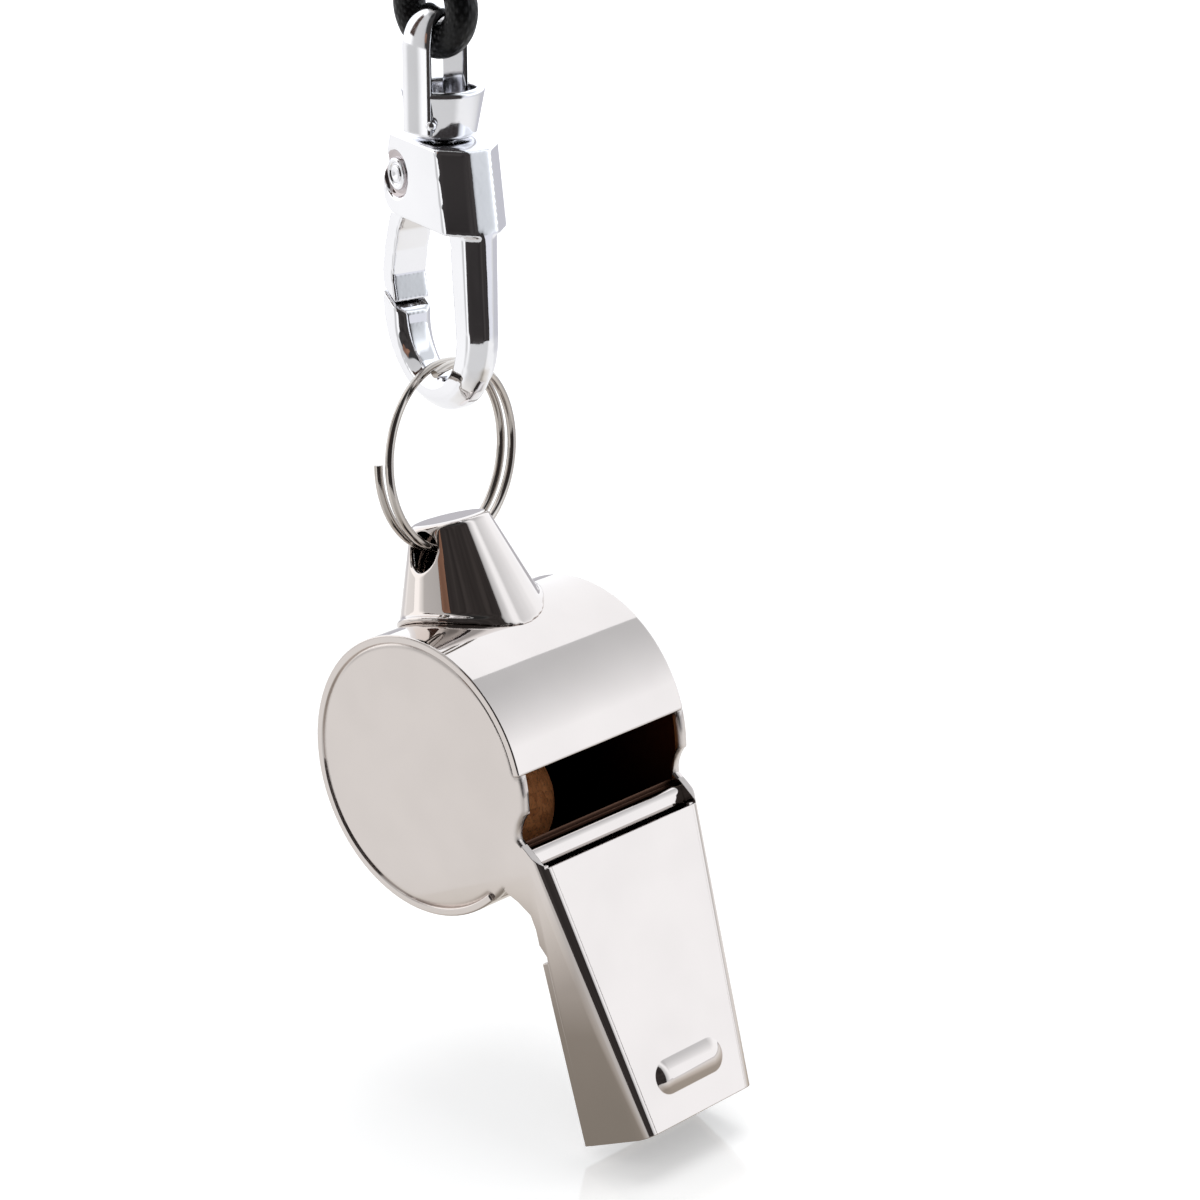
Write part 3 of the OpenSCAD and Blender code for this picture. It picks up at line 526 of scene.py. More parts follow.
class Workbench:
    """Makes, shapes and dresses pieces in the order that a modeller would."""

    def __init__(self) -> None:
        """Starts with no materials made."""
        self._made: dict[str, bpy.types.Material] = {}

    def paint(self, piece: Piece, finish: "MetalFinish | CorkFinish | CordFinish") -> None:
        """Gives a piece one finish, which is made the first time it is used.

        Args:
            piece: the piece to paint.
            finish: its finish.
        """
        if finish.name not in self._made:
            self._made[finish.name] = finish.build()
        piece.data.materials.clear()
        piece.data.materials.append(self._made[finish.name])

    def select(self, piece: Piece) -> None:
        """Selects one piece alone and makes it active.

        Args:
            piece: the piece to select.
        """
        bpy.ops.object.select_all(action="DESELECT")
        piece.select_set(True)
        bpy.context.view_layer.objects.active = piece

    def edit(self, piece: Piece) -> None:
        """Opens a piece's mesh, with all of it selected.

        Args:
            piece: the piece to open.
        """
        self.select(piece)
        bpy.ops.object.mode_set(mode="EDIT")
        bpy.ops.mesh.select_all(action="SELECT")

    def close(self) -> None:
        """Merges the open mesh's doubled points, turns its faces outward and closes it."""
        bpy.ops.mesh.select_all(action="SELECT")
        bpy.ops.mesh.remove_doubles(threshold=1e-7)
        bpy.ops.mesh.normals_make_consistent(inside=False)
        bpy.ops.object.mode_set(mode="OBJECT")

    def modify(self, piece: Piece, kind: str, **settings: object) -> None:
        """Puts a piece through a modifier.

        Args:
            piece: the piece to change.
            kind: the modifier's type.
            settings: the modifier's settings.
        """
        self.select(piece)
        step = piece.modifiers.new(kind, kind)
        for name, setting in settings.items():
            setattr(step, name, setting)
        bpy.ops.object.modifier_apply(modifier=kind)

    def smooth(self, piece: Piece, angle: float) -> None:
        """Shades a piece smooth, but for edges sharper than an angle in degrees."""
        self.select(piece)
        bpy.ops.object.shade_smooth_by_angle(angle=math.radians(angle))

    def level(self, piece: Piece) -> None:
        """Keeps a piece's large flat faces flat where they meet their roundings."""
        self.modify(piece, "WEIGHTED_NORMAL", mode="FACE_AREA", weight=100, keep_sharp=True)

    def settle(self, piece: Piece) -> None:
        """Puts a piece's place, turn and scale into its mesh."""
        self.select(piece)
        bpy.ops.object.transform_apply(location=True, rotation=True, scale=True)

    def plain_copy(self, node: str, name: str) -> Piece:
        """Copies a rigid node's mesh, with its faces merged again.

        Args:
            node: the node to copy.
            name: the new piece's name.

        Returns:
            The new piece.
        """
        piece = stand(name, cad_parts[node].data.copy())
        self.edit(piece)
        bpy.ops.mesh.remove_doubles(threshold=1e-6)
        bpy.ops.mesh.customdata_custom_splitnormals_clear()
        bpy.ops.mesh.dissolve_limited(angle_limit=math.radians(0.4))
        bpy.ops.object.mode_set(mode="OBJECT")
        return piece

    def soft_copy(self, node: str, name: str, width: float, segments: int) -> Piece:
        """Copies a rigid node's mesh and rounds its sharp edges a little.

        Args:
            node: the node to copy.
            name: the new piece's name.
            width: width of the rounding, in millimetres.
            segments: faces across the rounding.

        Returns:
            The new piece.
        """
        piece = self.plain_copy(node, name)
        self.modify(piece, "BEVEL", width=width * MM, segments=segments,
                    limit_method="ANGLE", angle_limit=math.radians(28.0),
                    use_clamp_overlap=True)
        self.smooth(piece, 30.0)
        self.level(piece)
        return piece

    def cast_copy(self, node: str, name: str, grid: float, passes: int) -> Piece:
        """Copies a rigid node's mesh and rounds it all over, as tumbling does.

        Args:
            node: the node to copy.
            name: the new piece's name.
            grid: size of the new mesh's faces, in millimetres.
            passes: how often the mesh is relaxed.

        Returns:
            The new piece.
        """
        piece = self.plain_copy(node, name)
        self.modify(piece, "REMESH", mode="VOXEL", voxel_size=grid * MM)
        self.modify(piece, "SMOOTH", factor=0.5, iterations=passes)
        self.smooth(piece, 75.0)
        return piece

    def lathe(self, name: str, outline: Sequence[Pair],
              centre: "Point | Vector", axis: Vector, steps: int = 96) -> Piece:
        """Spins an outline about an axis.

        Args:
            name: the piece's name.
            outline: radius and height of each point, in millimetres.
            centre: where the outline's zero height lies, in millimetres.
            axis: the spin's axis.
            steps: faces around.

        Returns:
            The piece, closed and smooth.
        """
        piece = mesh_piece(name, [(r * MM, 0.0, h * MM) for r, h in outline], [],
                           [(i, i + 1) for i in range(len(outline) - 1)])
        self.edit(piece)
        bpy.ops.mesh.spin(steps=steps, angle=math.tau, center=(0.0, 0.0, 0.0),
                          axis=(0.0, 0.0, 1.0), use_auto_merge=True)
        self.close()
        turn = Vector((0.0, 0.0, 1.0)).rotation_difference(axis).to_matrix().to_4x4()
        piece.data.transform(Matrix.Translation(Vector(centre) * MM) @ turn)
        self.smooth(piece, 34.0)
        return piece

    def sweep(self, name: str, path: Sequence[Vector], section: Sequence[Pair], layer: str,
              swell: Sequence[float]) -> Piece:
        """Sweeps a closed section along a path in the plane of X and Z.

        Args:
            name: the piece's name.
            path: the points it follows, in metres.
            section: offsets in that plane and across it, in metres.
            layer: the UV layer to lay along it.
            swell: stretch of the section across the path at each point.

        Returns:
            The piece, with closed ends.
        """
        sides = len(section)
        points: list[Vector] = []
        for i, here in enumerate(path):
            ahead = (path[min(i + 1, len(path) - 1)] - path[max(i - 1, 0)]).normalized()
            side = Vector((0.0, 1.0, 0.0)).cross(ahead).normalized()
            over = ahead.cross(side)
            points += [here + side * a * swell[i] + over * b for a, b in section]
        faces = [(i * sides + k, i * sides + (k + 1) % sides,
                  (i + 1) * sides + (k + 1) % sides, (i + 1) * sides + k)
                 for i in range(len(path) - 1) for k in range(sides)]
        last = (len(path) - 1) * sides
        faces += [tuple(reversed(range(sides))), tuple(range(last, last + sides))]
        piece = mesh_piece(name, points, faces)
        self._lay_uv(piece, path, sides, layer)
        self.edit(piece)
        self.close()
        self.smooth(piece, 50.0)
        return piece

    def _lay_uv(self, piece: Piece, path: Sequence[Vector], sides: int, layer: str) -> None:
        """Lays a UV layer round and along a tube, in shares of its girth.

        Args:
            piece: the tube.
            path: the points that it follows.
            sides: faces around.
            layer: the layer's name.
        """
        girth = 7.85 * MM
        run = [0.0]
        for a, b in zip(path, path[1:]):
            run.append(run[-1] + (b - a).length)
        uv = piece.data.uv_layers.new(name=layer)
        for face in piece.data.polygons:
            if len(face.vertices) != 4:
                continue
            for loop in face.loop_indices:
                ring, k = divmod(piece.data.loops[loop].vertex_index, sides)
                wrap = 1.0 if k == 0 and face.index % sides == sides - 1 else k / sides
                uv.data[loop].uv = (wrap, run[ring] / girth)


# the lanyard


@dataclass
class Lanyard:
    """The black cord, its lower bight, its upper loop and the ferrule between them."""

    bench: Workbench
    diameter: float = 2.5
    sides: int = 32
    bight_radius: float = 2.8
    bight_height: float = 43.0
    strand: float = 1.35
    strand_steps: int = 12
    ferrule_bottom: float = 47.4
    ferrule_top: float = 53.4
    tucked: float = 0.8
    loop_radius: float = 3.4
    bight_reach: float = 4.05
    pressed: float = 1.4

    def _strand(self, low: float, throat: float, high: float, reach: float) -> list[Pair]:
        """Gives one strand, from inside the ferrule out to a bend.

        Args:
            low: where it starts, in the ferrule.
            throat: where it leaves the ferrule.
            high: where the bend starts.
            reach: how far out the bend starts.

        Returns:
            How far out and how high each of its points is, in millimetres.
        """
        points = [(self.strand, low), (self.strand, (low + throat) / 2)]
        for i in range(self.strand_steps + 1):
            share = (1 - math.cos(math.pi * i / self.strand_steps)) / 2
            points.append((self.strand + (reach - self.strand) * share,
                           throat + (high - throat) * i / self.strand_steps))
        return points

    def _half_width(self, angle: float) -> float:
        """Gives half the cord's width in its own plane, at an angle round the bight."""
        side = self.bight_reach - self.bight_radius
        return side + (self.pressed - side) * math.sin(math.radians(angle)) ** 2

    def route(self) -> tuple[list[Vector], list[float]]:
        """Gives the cord's centreline: round the bight, up through the ferrule and round.

        Returns:
            The points, and how far the cord is pressed wide at each.
        """
        loop_z = HANG + self.diameter / 2 - self.loop_radius
        lower = self._strand(self.ferrule_bottom + self.tucked, self.ferrule_bottom,
                             self.bight_height, self.bight_radius)
        upper = self._strand(self.ferrule_top - self.tucked, self.ferrule_top, loop_z,
                             self.loop_radius)
        bight, widths = [], []
        for angle in range(185, 360, 5):
            half = self._half_width(angle)
            bight += arc((0.0, self.bight_height), self.bight_reach - half, [angle])
            widths.append(half / (self.diameter / 2))
        crown = arc((0.0, loop_z), self.loop_radius, range(10, 180, 10))
        points = [(-x, z) for x, z in lower] + bight + lower[::-1]
        points += upper + crown + [(-x, z) for x, z in upper[::-1]]
        swell = [1.0] * len(lower) + widths
        swell += [1.0] * (len(points) - len(swell))
        return [Vector((x, 0.0, z - HANG)) * MM for x, z in points], swell

    def build(self) -> list[Piece]:
        """Builds and dresses the cord and its ferrule.

        Returns:
            The new pieces.
        """
        path, swell = self.route()
        round_section = arc((0.0, 0.0), self.diameter / 2 * MM,
                            [360.0 * s / self.sides for s in range(self.sides)])
        finish = CordFinish()
        cord = self.bench.sweep("lanyard_cord_braid", path, round_section, finish.layer,
                                swell)
        self.bench.paint(cord, finish)
        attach(cord, Body.LANYARD.value)
        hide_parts("lanyard_cord", "lanyard_loop")
        self.bench.paint(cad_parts["cord_ferrule"], STEEL)
        return [cord]


# the whistle


@dataclass
class Whistle:
    """The folded shell, the band, the windway floor, the lug and the cork ball."""

    bench: Workbench
    sheet_edge: float = 0.14
    edge_faces: int = 4
    lug_grid: float = 0.09
    lug_passes: int = 24
    pea_radius: float = 6.0
    dent: float = 0.02

    def build(self) -> list[Piece]:
        """Builds and dresses the whistle.

        Returns:
            The pieces.
        """
        pieces = []
        for node, finish in (("body_shell", NICKEL_SHELL), ("barrel_band", NICKEL),
                             ("windway_floor", NICKEL_ROLL), ("lanyard_lug", NICKEL)):
            name = f"{node}_plated"
            if node == "lanyard_lug":
                piece = self.bench.cast_copy(node, name, self.lug_grid, self.lug_passes)
            else:
                piece = self.bench.soft_copy(node, name, self.sheet_edge, self.edge_faces)
            self.bench.paint(piece, finish)
            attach(piece, Body.WHISTLE.value)
            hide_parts(node)
            pieces.append(piece)
        pieces.append(self._pea())
        LOG.info("whistle: %d pieces", len(pieces))
        return pieces

    def _pea(self) -> Piece:
        """Makes the ground cork ball, with shallow dents worn into it.

        Returns:
            The ball.
        """
        low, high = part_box("cork_pea")
        centre = (low + high) / 2
        bpy.ops.mesh.primitive_ico_sphere_add(subdivisions=6, radius=self.pea_radius * MM,
                                              location=centre)
        piece = bpy.context.object
        piece.name = "cork_pea_ground"
        self.bench.settle(piece)
        for vertex in piece.data.vertices:
            out = (vertex.co - centre).normalized()
            wave = (math.sin(out.x * 17.0 + 2.0 * out.z) * math.sin(out.y * 19.0)
                    * math.sin(out.z * 23.0 + out.x * 5.0))
            vertex.co -= out * self.dent * MM * (1.0 + wave)
        self.bench.smooth(piece, 60.0)
        self.bench.paint(piece, CorkFinish())
        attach(piece, Body.PEA.value)
        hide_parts("cork_pea")
        return piece


# the split ring


@dataclass
class SplitRing:
    """Round wire wound nearly twice, with square ends."""

    bench: Workbench
    radius: float = 7.42
    wire: float = 0.69
    pitch: float = 1.10
    seat: float = 0.35
    lean: float = 5.0
    heading: float = 97.0
    first: float = 177.0
    last: float = 820.0
    middle: float = 450.0
    sides: int = 20
    steps: int = 260
    centre: Point = (0.5, DEPTH, -HANG)

    def _start_section(self) -> Piece:
        """Adds the wire's round section where the winding starts, facing along the wire.

        Returns:
            The section.
        """
        bpy.ops.mesh.primitive_circle_add(vertices=self.sides, radius=self.wire / 2 * MM,
                                          fill_type="NOTHING", location=(0.0, 0.0, 0.0),
                                          rotation=(math.radians(90.0), 0.0, 0.0))
        piece = bpy.context.object
        piece.name = "split_ring_wire"
        self.bench.settle(piece)
        rise = self.pitch * (self.first - self.middle) / 360.0
        piece.data.transform(Matrix.Rotation(math.radians(self.first), 4, "Z")
                             @ Matrix.Translation(Vector((self.radius, 0.0, rise)) * MM))
        return piece

    def _close_ends(self, ring: Piece) -> None:
        """Caps the wire and draws each end out by its own thickness.

        Args:
            ring: the open winding.
        """
        shape = bmesh.new()
        shape.from_mesh(ring.data)
        rim = [e for e in shape.edges if e.is_boundary]
        caps = bmesh.ops.holes_fill(shape, edges=rim, sides=0)["faces"]
        bmesh.ops.recalc_face_normals(shape, faces=shape.faces)
        for cap in caps:
            way = cap.normal.copy()
            drawn = bmesh.ops.extrude_face_region(shape, geom=[cap])["geom"]
            points = [v for v in drawn if isinstance(v, bmesh.types.BMVert)]
            bmesh.ops.translate(shape, verts=points, vec=way * self.wire * MM)
            bmesh.ops.delete(shape, geom=[cap], context="FACES")
        bmesh.ops.recalc_face_normals(shape, faces=shape.faces)
        shape.to_mesh(ring.data)
        shape.free()

    def build(self) -> list[Piece]:
        """Builds and dresses the ring.

        Returns:
            The pieces.
        """
        ring = self._start_section()
        turned = self.last - self.first
        self.bench.modify(ring, "SCREW", axis="Z", angle=math.radians(turned),
                          screw_offset=self.pitch * turned / 360.0 * MM, steps=self.steps,
                          render_steps=self.steps, use_merge_vertices=False)
        self._close_ends(ring)
        ring.data.transform(
            Matrix.Translation((Vector(self.centre) - Vector((0.0, 0.0, self.seat))) * MM)
            @ Matrix.Rotation(math.radians(self.heading - 90.0), 4, "Z")
            @ Matrix.Rotation(math.radians(-self.lean), 4, "Y")
            @ Matrix.Translation(Vector((0.0, 0.0, self.radius)) * MM)
            @ Matrix.Rotation(math.radians(90.0), 4, "Z")
            @ Matrix.Rotation(math.radians(90.0), 4, "X"))
        self.bench.smooth(ring, 40.0)
        self.bench.paint(ring, WIRE)
        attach(ring, Body.RING.value)
        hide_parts("split_ring")
        LOG.info("split ring: wire of %.2f mm", self.wire)
        return [ring]


# the snap hook


@dataclass
class SnapHook:
    """The cast hook, its sprung gate, the gate's rivet and the coil spring."""

    bench: Workbench
    heading: float = -15.0
    grid: float = 0.1
    body_passes: int = 34
    gate_passes: int = 14
    half: float = 2.8
    rivet_reach: float = -2.8
    rivet_height: float = 29.6
    # radius of each point of the rivet's head, and how deep it lies under the block's side
    head: tuple[Pair, ...] = (
        (0.0, 0.12), (0.22, 0.1), (0.34, 0.02), (0.5, 0.0), (0.66, 0.06), (0.74, 0.2),
        (0.86, 0.2), (0.95, 0.05), (1.1, 0.01), (1.24, 0.08), (1.3, 0.25), (1.3, 0.4),
        (0.65, 0.4))
    spring_reach: float = 1.6
    spring_top: float = 31.5
    spring_seat: float = 28.1

    def _in_hook(self, reach: float, height: float) -> Vector:
        """Gives a point of the hook's middle plane, in the shared frame, in millimetres."""
        turn = math.radians(self.heading)
        return Vector((reach * math.cos(turn), reach * math.sin(turn) + DEPTH, height - HANG))

    def build(self) -> list[Piece]:
        """Builds and dresses the hook and what it carries.

        Returns:
            The pieces.
        """
        pieces = []
        for node, passes, body, finish in (
                ("clasp_body", self.body_passes, Body.CLASP, CHROME_BODY),
                ("clasp_gate", self.gate_passes, Body.GATE, CHROME)):
            piece = self.bench.cast_copy(node, f"{node}_cast", self.grid, passes)
            self.bench.paint(piece, finish)
            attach(piece, body.value)
            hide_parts(node)
            pieces.append(piece)
        pieces += [self._rivet(), self._spring()]
        LOG.info("snap hook: %d pieces", len(pieces))
        return pieces

    def _rivet(self) -> Piece:
        """Makes the gate's rivet, with its two ringed heads.

        Returns:
            The rivet.
        """
        head = [(r, self.half - sink) for r, sink in self.head]
        outline = head + [(r, -h) for r, h in reversed(head)]
        turn = math.radians(self.heading)
        axis = Vector((-math.sin(turn), math.cos(turn), 0.0))
        piece = self.bench.lathe("gate_rivet_head", outline,
                                 self._in_hook(self.rivet_reach, self.rivet_height), axis)
        self.bench.paint(piece, CHROME)
        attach(piece, Body.CLASP.value)
        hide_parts("gate_rivet")
        return piece

    def _spring(self) -> Piece:
        """Makes the gate's coil, which the gate's heel presses from below.

        Returns:
            The coil, which runs from the block at its top to the gate at its foot.
        """
        piece = self.bench.plain_copy("gate_spring", "gate_spring_coil")
        self.bench.smooth(piece, 50.0)
        self.bench.paint(piece, STEEL)
        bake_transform(piece)
        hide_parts("gate_spring")
        return piece


# the swivel eye


@dataclass
class SwivelEye:
    """The cup, its strap over the cord and the rivet through its floor."""

    bench: Workbench
    bottom: float = 32.95
    height: float = 3.85
    radius: float = 3.2
    foot: float = 2.6
    foot_turn: float = 0.5
    roll: float = 0.35
    rim: float = 0.6
    sheet: float = 0.7
    bore: float = 0.7
    cup_steps: int = 112
    # how far each point of the well's foot stands in from its wall, and its height
    well: tuple[Pair, ...] = ((0.0, 1.6), (0.2, 1.1), (0.6, 0.75))
    width: float = 2.8
    strap_back: float = 1.8
    strap_low: float = 0.55
    strap_corner: float = 0.26
    corner_faces: int = 6
    arch_steps: int = 28
    dome_cuts: int = 13
    domed: float = 0.3
    crown: float = 43.3
    arch: float = 1.4
    fall: float = 0.3
    waist: float = 0.9
    flare: float = 0.27
    clear: float = -1.35
    bead: float = 0.42
    bead_out: float = 0.02
    bead_front: float = 2.72
    bead_rise: float = 1.35

    def build(self) -> list[Piece]:
        """Builds and dresses the eye.

        Returns:
            The pieces.
        """
        cup = self._cup()
        pieces = [cup, self._strap(), self._bead()]
        for piece in pieces:
            self.bench.paint(piece, EYE_CHROME)
            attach(piece, Body.EYE.value)
        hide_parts("swivel_eye")
        self.bench.paint(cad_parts["swivel_rivet"], STEEL)
        LOG.info("swivel eye: %d pieces", len(pieces))
        return pieces

    def _cup(self) -> Piece:
        """Makes the round cup, tapering to its foot and rolled at its rim.

        Returns:
            The cup.
        """
        top = self.bottom + self.height
        inner = self.radius - self.sheet
        outline = [(self.bore, self.bottom)]
        outline += arc((self.foot - self.foot_turn, self.bottom + self.foot_turn),
                       self.foot_turn, range(-90, -7, 9))
        outline += arc((self.radius - self.roll, top - self.roll), self.roll,
                       range(-15, 181, 15))
        outline += [(inner, top - self.rim)]
        outline += [(inner - inset, self.bottom + rise) for inset, rise in self.well]
        outline += [(self.bore, self.bottom + self.sheet), (self.bore, self.bottom)]
        return self.bench.lathe("swivel_cup", outline, (0.0, DEPTH, -HANG),
                                Vector((0.0, 0.0, 1.0)), self.cup_steps)

    def _strap(self) -> Piece:
        """Makes the bent strap: up the front of the cup, over the cord and down inside.

        Returns:
            The strap.
        """
        low = self.bottom + self.strap_low
        front = DEPTH - self.radius
        bpy.ops.mesh.primitive_plane_add(
            size=1.0, location=Vector((0.0, front + self.sheet / 2, low - HANG)) * MM)
        piece = bpy.context.object
        piece.name = "swivel_strap"
        piece.scale = (self.width * MM, self.sheet * MM, 1.0)
        self.bench.settle(piece)
        self.bench.edit(piece)
        bpy.ops.mesh.bevel(offset=self.strap_corner * MM, segments=self.corner_faces,
                           affect="VERTICES")
        bpy.ops.object.mode_set(mode="OBJECT")
        self._dome(piece, front * MM)
        spring = self.crown - self.arch * (self.radius + self.strap_back) / 2
        middle = DEPTH - (self.radius - self.strap_back) / 2
        hub = Vector((0.0, middle, spring - HANG)) * MM
        self.bench.edit(piece)
        bpy.ops.mesh.select_mode(type="FACE")
        bpy.ops.mesh.select_all(action="SELECT")
        bpy.ops.mesh.extrude_region_move(
            TRANSFORM_OT_translate={"value": (0.0, 0.0, (spring - low) * MM)})
        bpy.ops.mesh.spin(steps=self.arch_steps, angle=math.pi, center=hub,
                          axis=(1.0, 0.0, 0.0))
        bpy.ops.mesh.extrude_region_move(TRANSFORM_OT_translate={
            "value": (0.0, 0.0, -(spring - self.bottom - self.sheet) * MM)})
        self.bench.close()
        for vertex in piece.data.vertices:
            ahead = (self.clear - vertex.co.y / MM) / (self.clear - front)
            vertex.co.x *= self.waist + self.flare * min(max(ahead, 0.0), 1.0)
            if vertex.co.z > hub.z:
                vertex.co.z = hub.z + (vertex.co.z - hub.z) * self.arch
        self.bench.smooth(piece, 38.0)
        self.bench.level(piece)
        return piece

    def _dome(self, piece: Piece, front: float) -> None:
        """Lets the strap's outer edge fall back toward its sides.

        Args:
            piece: the strap's flat section.
            front: where the outer edge stands, in metres.
        """
        shape = bmesh.new()
        shape.from_mesh(piece.data)
        long = [e for e in shape.edges if all(v.co.y < front + 1e-6 for v in e.verts)]
        bmesh.ops.subdivide_edges(shape, edges=long, cuts=self.dome_cuts)
        for vertex in shape.verts:
            if vertex.co.y < front + self.domed * MM:
                share = vertex.co.x / (self.width / 2 * MM)
                vertex.co.y += self.fall * MM * share * share
        shape.to_mesh(piece.data)
        shape.free()

    def _bead(self) -> Piece:
        """Makes the bright bead where the strap's side runs into the cup.

        Returns:
            The bead.
        """
        place = Vector((self.width / 2 + self.bead_out, DEPTH - self.bead_front,
                        self.bottom + self.bead_rise - HANG))
        bpy.ops.mesh.primitive_uv_sphere_add(segments=32, ring_count=20,
                                             radius=self.bead * MM, location=place * MM)
        piece = bpy.context.object
        piece.name = "swivel_bead"
        self.bench.settle(piece)
        self.bench.smooth(piece, 60.0)
        return piece


# the studio


# what the metal sees near the mouthpiece's tip, by the distance from it in tenths of a metre:
# a painted shadow of the whistle on the mirrored floor
NEAR_FLOOR: Stops = ((0.0, (0.42, 0.39, 0.34)), (0.21, (0.5, 0.46, 0.41)),
                     (0.28, (0.72, 0.68, 0.63)), (0.42, (0.9, 0.88, 0.85)), (0.6, 1.0))
# how much of it is left, deepening that painted shadow in front of the tip, and what the metal
# sees farther out, by azimuth in degrees
FRONT_FLOOR: Stops = ((-180, 1.0), (-104, 1.0), (-82, 0.7), (-12, 0.7), (8, 1.0), (180, 1.0))
FAR_FLOOR: Stops = ((-180, 0.88), (-158, 0.88), (-148, 0.56), (-124, 0.54), (-112, 0.95),
                    (-94, 0.95), (-78, 0.64), (-30, (0.6, 0.61, 0.64)),
                    (0, (0.66, 0.67, 0.72)), (30, (0.72, 0.73, 0.78)), (70, 0.6),
                    (95, (0.5, 0.5, 0.54)), (165, (0.5, 0.5, 0.54)), (178, 1.0))
# the walls' brightness, and where they keep it high up, by azimuth in degrees
WALLS: Stops = ((-180, 1.0), (-145, 1.0), (-132, 0.46), (-103, 0.42), (-99, 0.03),
                (8, 0.05), (14, 0.5), (30, 0.96), (180, 1.0))
HIGH_WALLS: Stops = ((-180, 1.0), (34.92, 1.0), (61.92, 0.0), (84.6, 0.0), (85.68, 1.0),
                     (180, 1.0))


@dataclass(frozen=True)
class Board:
    """An upright curved board that only the metal sees; its sizes in degrees and mm."""

    name: str
    first: float
    last: float
    low: float
    high: float
    radius: float
    dark: Colour
    light: Colour
    steps: int = 24

    def build(self) -> Piece:
        """Makes the board, which glows a little.

        Returns:
            The board.
        """
        turn = (self.last - self.first) / self.steps
        line = arc((0.0, 0.0), self.radius,
                   [self.first + turn * i for i in range(self.steps + 1)])
        piece = mesh_piece(self.name,
                           [Vector((x, y, z)) * MM for x, y in line
                            for z in (self.low, self.high)],
                           [(i, i + 1, i + 3, i + 2) for i in range(0, 2 * self.steps, 2)])
        bench = ShaderBench(self.name)
        fold = bench.noise(bench.place(), 30.0, 2.0)
        bench.show(bench.glow(bench.blend(bench.spread(fold, 0.3, 0.7), self.dark,
                                          self.light)))
        piece.data.materials.append(bench.material)
        return piece


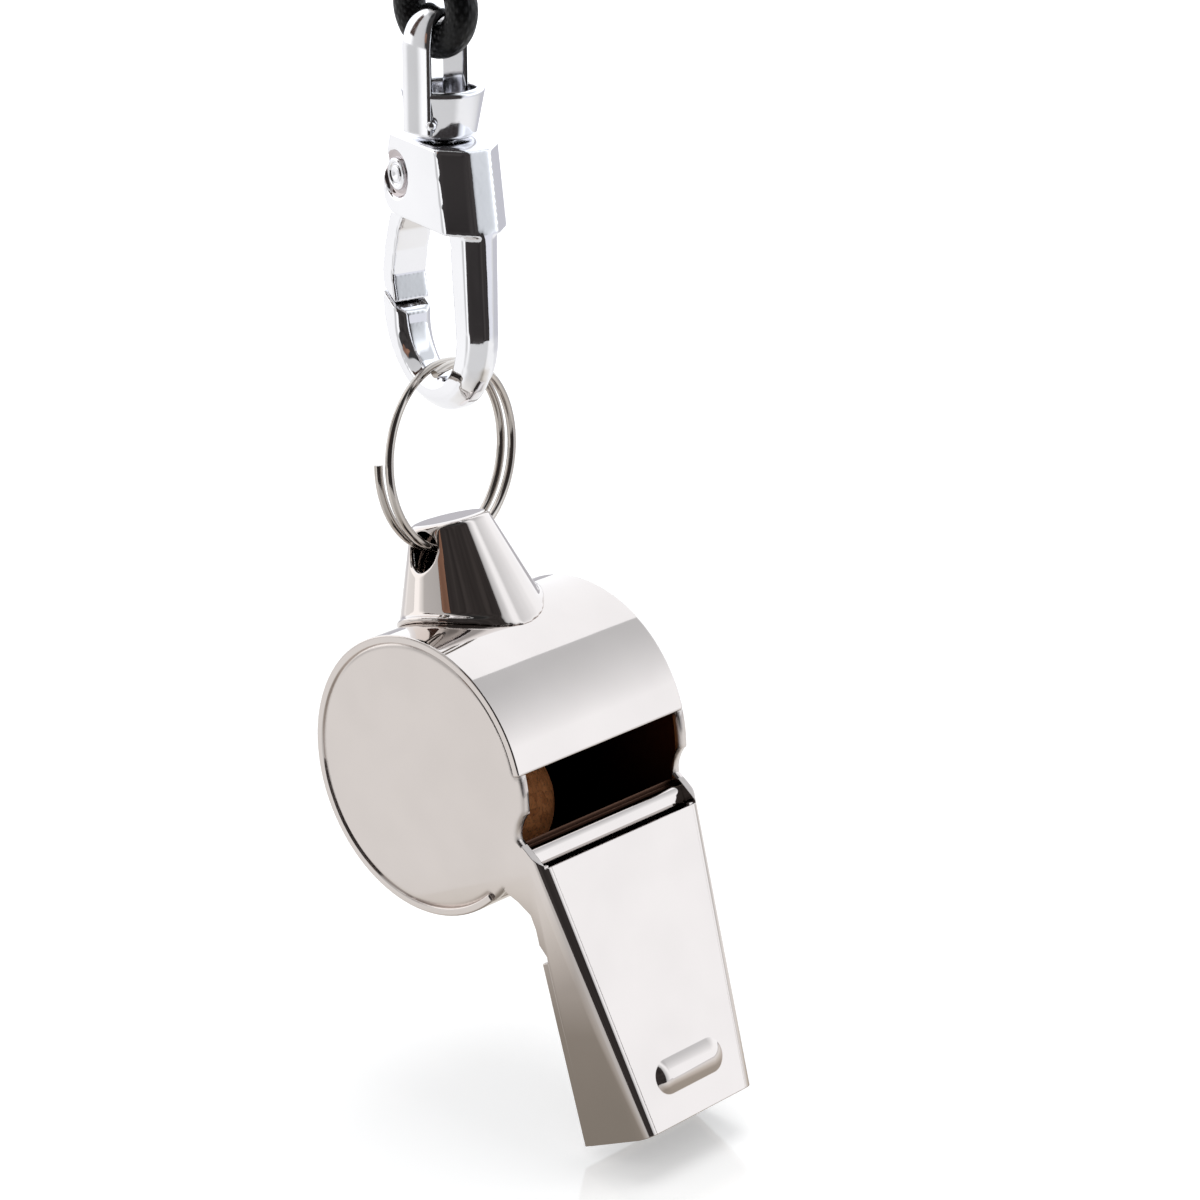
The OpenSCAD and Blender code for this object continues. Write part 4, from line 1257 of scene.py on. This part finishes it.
@dataclass
class Studio:
    """The camera, the pale floor, the lamps and the dark side of the room."""

    eye: Point = (203.8, -201.4, 38.6)
    right: Point = (0.733, 0.680, 0.0)
    up: Point = (-0.239, 0.258, 0.936)
    lens: float = 114.81
    floor_z: float = -109.2
    floor_size: float = 6.0
    ambient: float = 0.45
    tip: Point = (0.018, 0.0, 0.0)
    room: float = 1.5
    aim: Point = (0.0, 0.0, -0.06)

    def camera(self) -> None:
        """Places the camera where the photograph was taken from."""
        data = bpy.data.cameras.new("camera")
        data.lens = self.lens
        data.sensor_width = 36.0
        data.sensor_fit = "HORIZONTAL"
        data.clip_start = 0.01
        data.clip_end = 20.0
        camera = stand("camera", data)
        right = Vector(self.right).normalized()
        back = right.cross(Vector(self.up)).normalized()
        turn = Matrix((right, back.cross(right).normalized(), back)).transposed().to_4x4()
        camera.matrix_world = Matrix.Translation(Vector(self.eye) * MM) @ turn
        bpy.context.scene.camera = camera

    def world(self) -> None:
        """Adds soft white light from all round, which the camera sees as pure white."""
        world = bpy.data.worlds.new("white room")
        bpy.context.scene.world = world
        world.use_nodes = True
        plain = world.node_tree.nodes["Background"]
        plain.inputs["Color"].default_value = (1.0, 1.0, 1.0, 1.0)
        path = world.node_tree.nodes.new("ShaderNodeLightPath")
        level = world.node_tree.nodes.new("ShaderNodeMapRange")
        level.inputs["To Min"].default_value = self.ambient
        level.inputs["To Max"].default_value = 1.0
        world.node_tree.links.new(path.outputs["Is Camera Ray"], level.inputs["Value"])
        world.node_tree.links.new(level.outputs["Result"], plain.inputs["Strength"])

    def _mirrored_only(self, piece: Piece) -> None:
        """Lets only mirror-like surfaces see a studio piece.

        Args:
            piece: the studio piece.
        """
        for ray in ("camera", "diffuse", "transmission", "volume_scatter", "shadow"):
            setattr(piece, f"visible_{ray}", False)

    def floor(self) -> None:
        """Lays the pale floor, just under the mouthpiece's tip.

        The camera sees its paint and its shadows. The metal mirrors a plainer floor, with a
        painted shadow that darkens it toward the mouthpiece's tip, and which is brightest far
        out on the left.
        """
        bpy.ops.mesh.primitive_plane_add(size=self.floor_size,
                                         location=(0.0, 0.0, self.floor_z * MM))
        floor = bpy.context.object
        floor.name = "pale_floor"
        bench = ShaderBench("pale floor")
        path = bench.node("ShaderNodeLightPath").outputs
        away = bench.vector("LENGTH", bench.vector("SUBTRACT", bench.place(), self.tip))
        lift = bench.maths("MULTIPLY", path["Is Camera Ray"],
                           bench.spread(away, 0.12, 0.5, 0.38, 0.8))
        grain = bench.noise(bench.place(), 40.0, 2.0)
        bench.coat({"Base Color": bench.blend(grain, (0.84, 0.84, 0.84), (0.86, 0.86, 0.86)),
                    "Roughness": 0.1, "Emission Color": (1.0, 1.0, 1.0),
                    "Emission Strength": lift})
        around = bench.azimuth()
        # painted shadow: the mirrored floor darkens toward the tip, and more so in front of it
        near = bench.vector("MULTIPLY",
                            bench.ramp(bench.maths("MULTIPLY", away, 10.0), NEAR_FLOOR),
                            bench.ramp_round(around, FRONT_FLOOR))
        far = bench.vector("MULTIPLY", bench.ramp_round(around, FAR_FLOOR), (1.2, 1.2, 1.2))
        mirrored = bench.blend(bench.spread(away, 0.13, 0.22), near, far)
        bench.show(bench.node("ShaderNodeMixShader",
                              {0: path["Is Glossy Ray"], 1: bench.shader.outputs["BSDF"],
                               2: bench.glow(mirrored)}).outputs["Shader"])
        floor.data.materials.append(bench.material)

    def walls(self) -> None:
        """Adds the round white room that the metal mirrors, with brighter and duller sides."""
        bpy.ops.mesh.primitive_uv_sphere_add(segments=64, ring_count=32, radius=self.room,
                                             location=(0.0, 0.0, 0.0))
        room = bpy.context.object
        room.name = "white_room"
        bench = ShaderBench("white walls")
        around = bench.azimuth()
        height = bench.node("ShaderNodeSeparateXYZ",
                            {"Vector": bench.place((1 / self.room,) * 3)}).outputs["Z"]
        kept = bench.maths("MAXIMUM", bench.ramp_round(around, HIGH_WALLS),
                           bench.spread(height, 0.24, 0.7, 1.0, 0.56))
        level = bench.maths("MULTIPLY", bench.ramp_round(around, WALLS), kept)
        level = bench.maths("MULTIPLY", level, bench.spread(height, 0.88, 0.94, 1.0, 0.45))
        cool = bench.blend(bench.spread(around, 0.35, 0.55), (1.0, 1.0, 1.0),
                           (0.96, 1.0, 1.045))
        bench.show(bench.glow(cool, bench.maths("MULTIPLY", level, 1.45)))
        room.data.materials.append(bench.material)
        self._mirrored_only(room)

    def dark_side(self) -> None:
        """Puts up the unlit side behind the camera, and the warm boards at its left."""
        for board in (
                Board("dark_side_of_the_room", -88.0, 9.0, self.floor_z, 200.0, 170.0,
                      (0.03, 0.027, 0.027), (0.062, 0.056, 0.055)),
                Board("warm_board", -101.0, -87.0, 2.0, 62.0, 172.0,
                      (0.34, 0.185, 0.125), (0.13, 0.075, 0.055)),
                Board("brown_post", -150.0, -133.0, 4.0, 190.0, 172.0,
                      (0.05, 0.03, 0.025), (0.1, 0.06, 0.045))):
            self._mirrored_only(board.build())

    def lamp(self, name: str, place: Point, size: Pair, power: float) -> None:
        """Adds a soft box that faces the whistle, and that the metal doesn't mirror.

        Args:
            name: the lamp's name.
            place: where it stands, in metres.
            size: its width and height, in metres.
            power: its power, in watts.
        """
        data = bpy.data.lights.new(name, "AREA")
        data.shape = "RECTANGLE"
        data.size, data.size_y = size
        data.energy = power
        lamp = stand(name, data)
        toward = Vector(self.aim) - Vector(place)
        lamp.rotation_euler = toward.to_track_quat("-Z", "Y").to_euler()
        lamp.location = place
        lamp.visible_glossy = False

    def build(self) -> None:
        """Sets the whole studio up."""
        self.world()
        self.floor()
        self.walls()
        self.dark_side()
        self.lamp("overhead box", (-0.05, 0.15, 0.7), (0.45, 0.45), 1.9)
        self.lamp("front box", (0.25, -0.5, 0.35), (0.6, 0.5), 1.0)
        bpy.context.scene.view_settings.view_transform = "Standard"
        LOG.info("studio ready")


def main() -> None:
    """Builds the studio and every sub-assembly in order, and reports each piece."""
    logging.basicConfig(level=logging.INFO, format="%(message)s")
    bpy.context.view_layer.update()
    studio = Studio()
    studio.camera()
    bench = Workbench()
    built = Lanyard(bench).build()
    studio.build()
    for assembly in (Whistle(bench), SplitRing(bench), SnapHook(bench), SwivelEye(bench)):
        built += assembly.build()
    for piece in built:
        LOG.info("%s: %d faces", piece.name, len(piece.data.polygons))


if __name__ == "__main__":
    main()
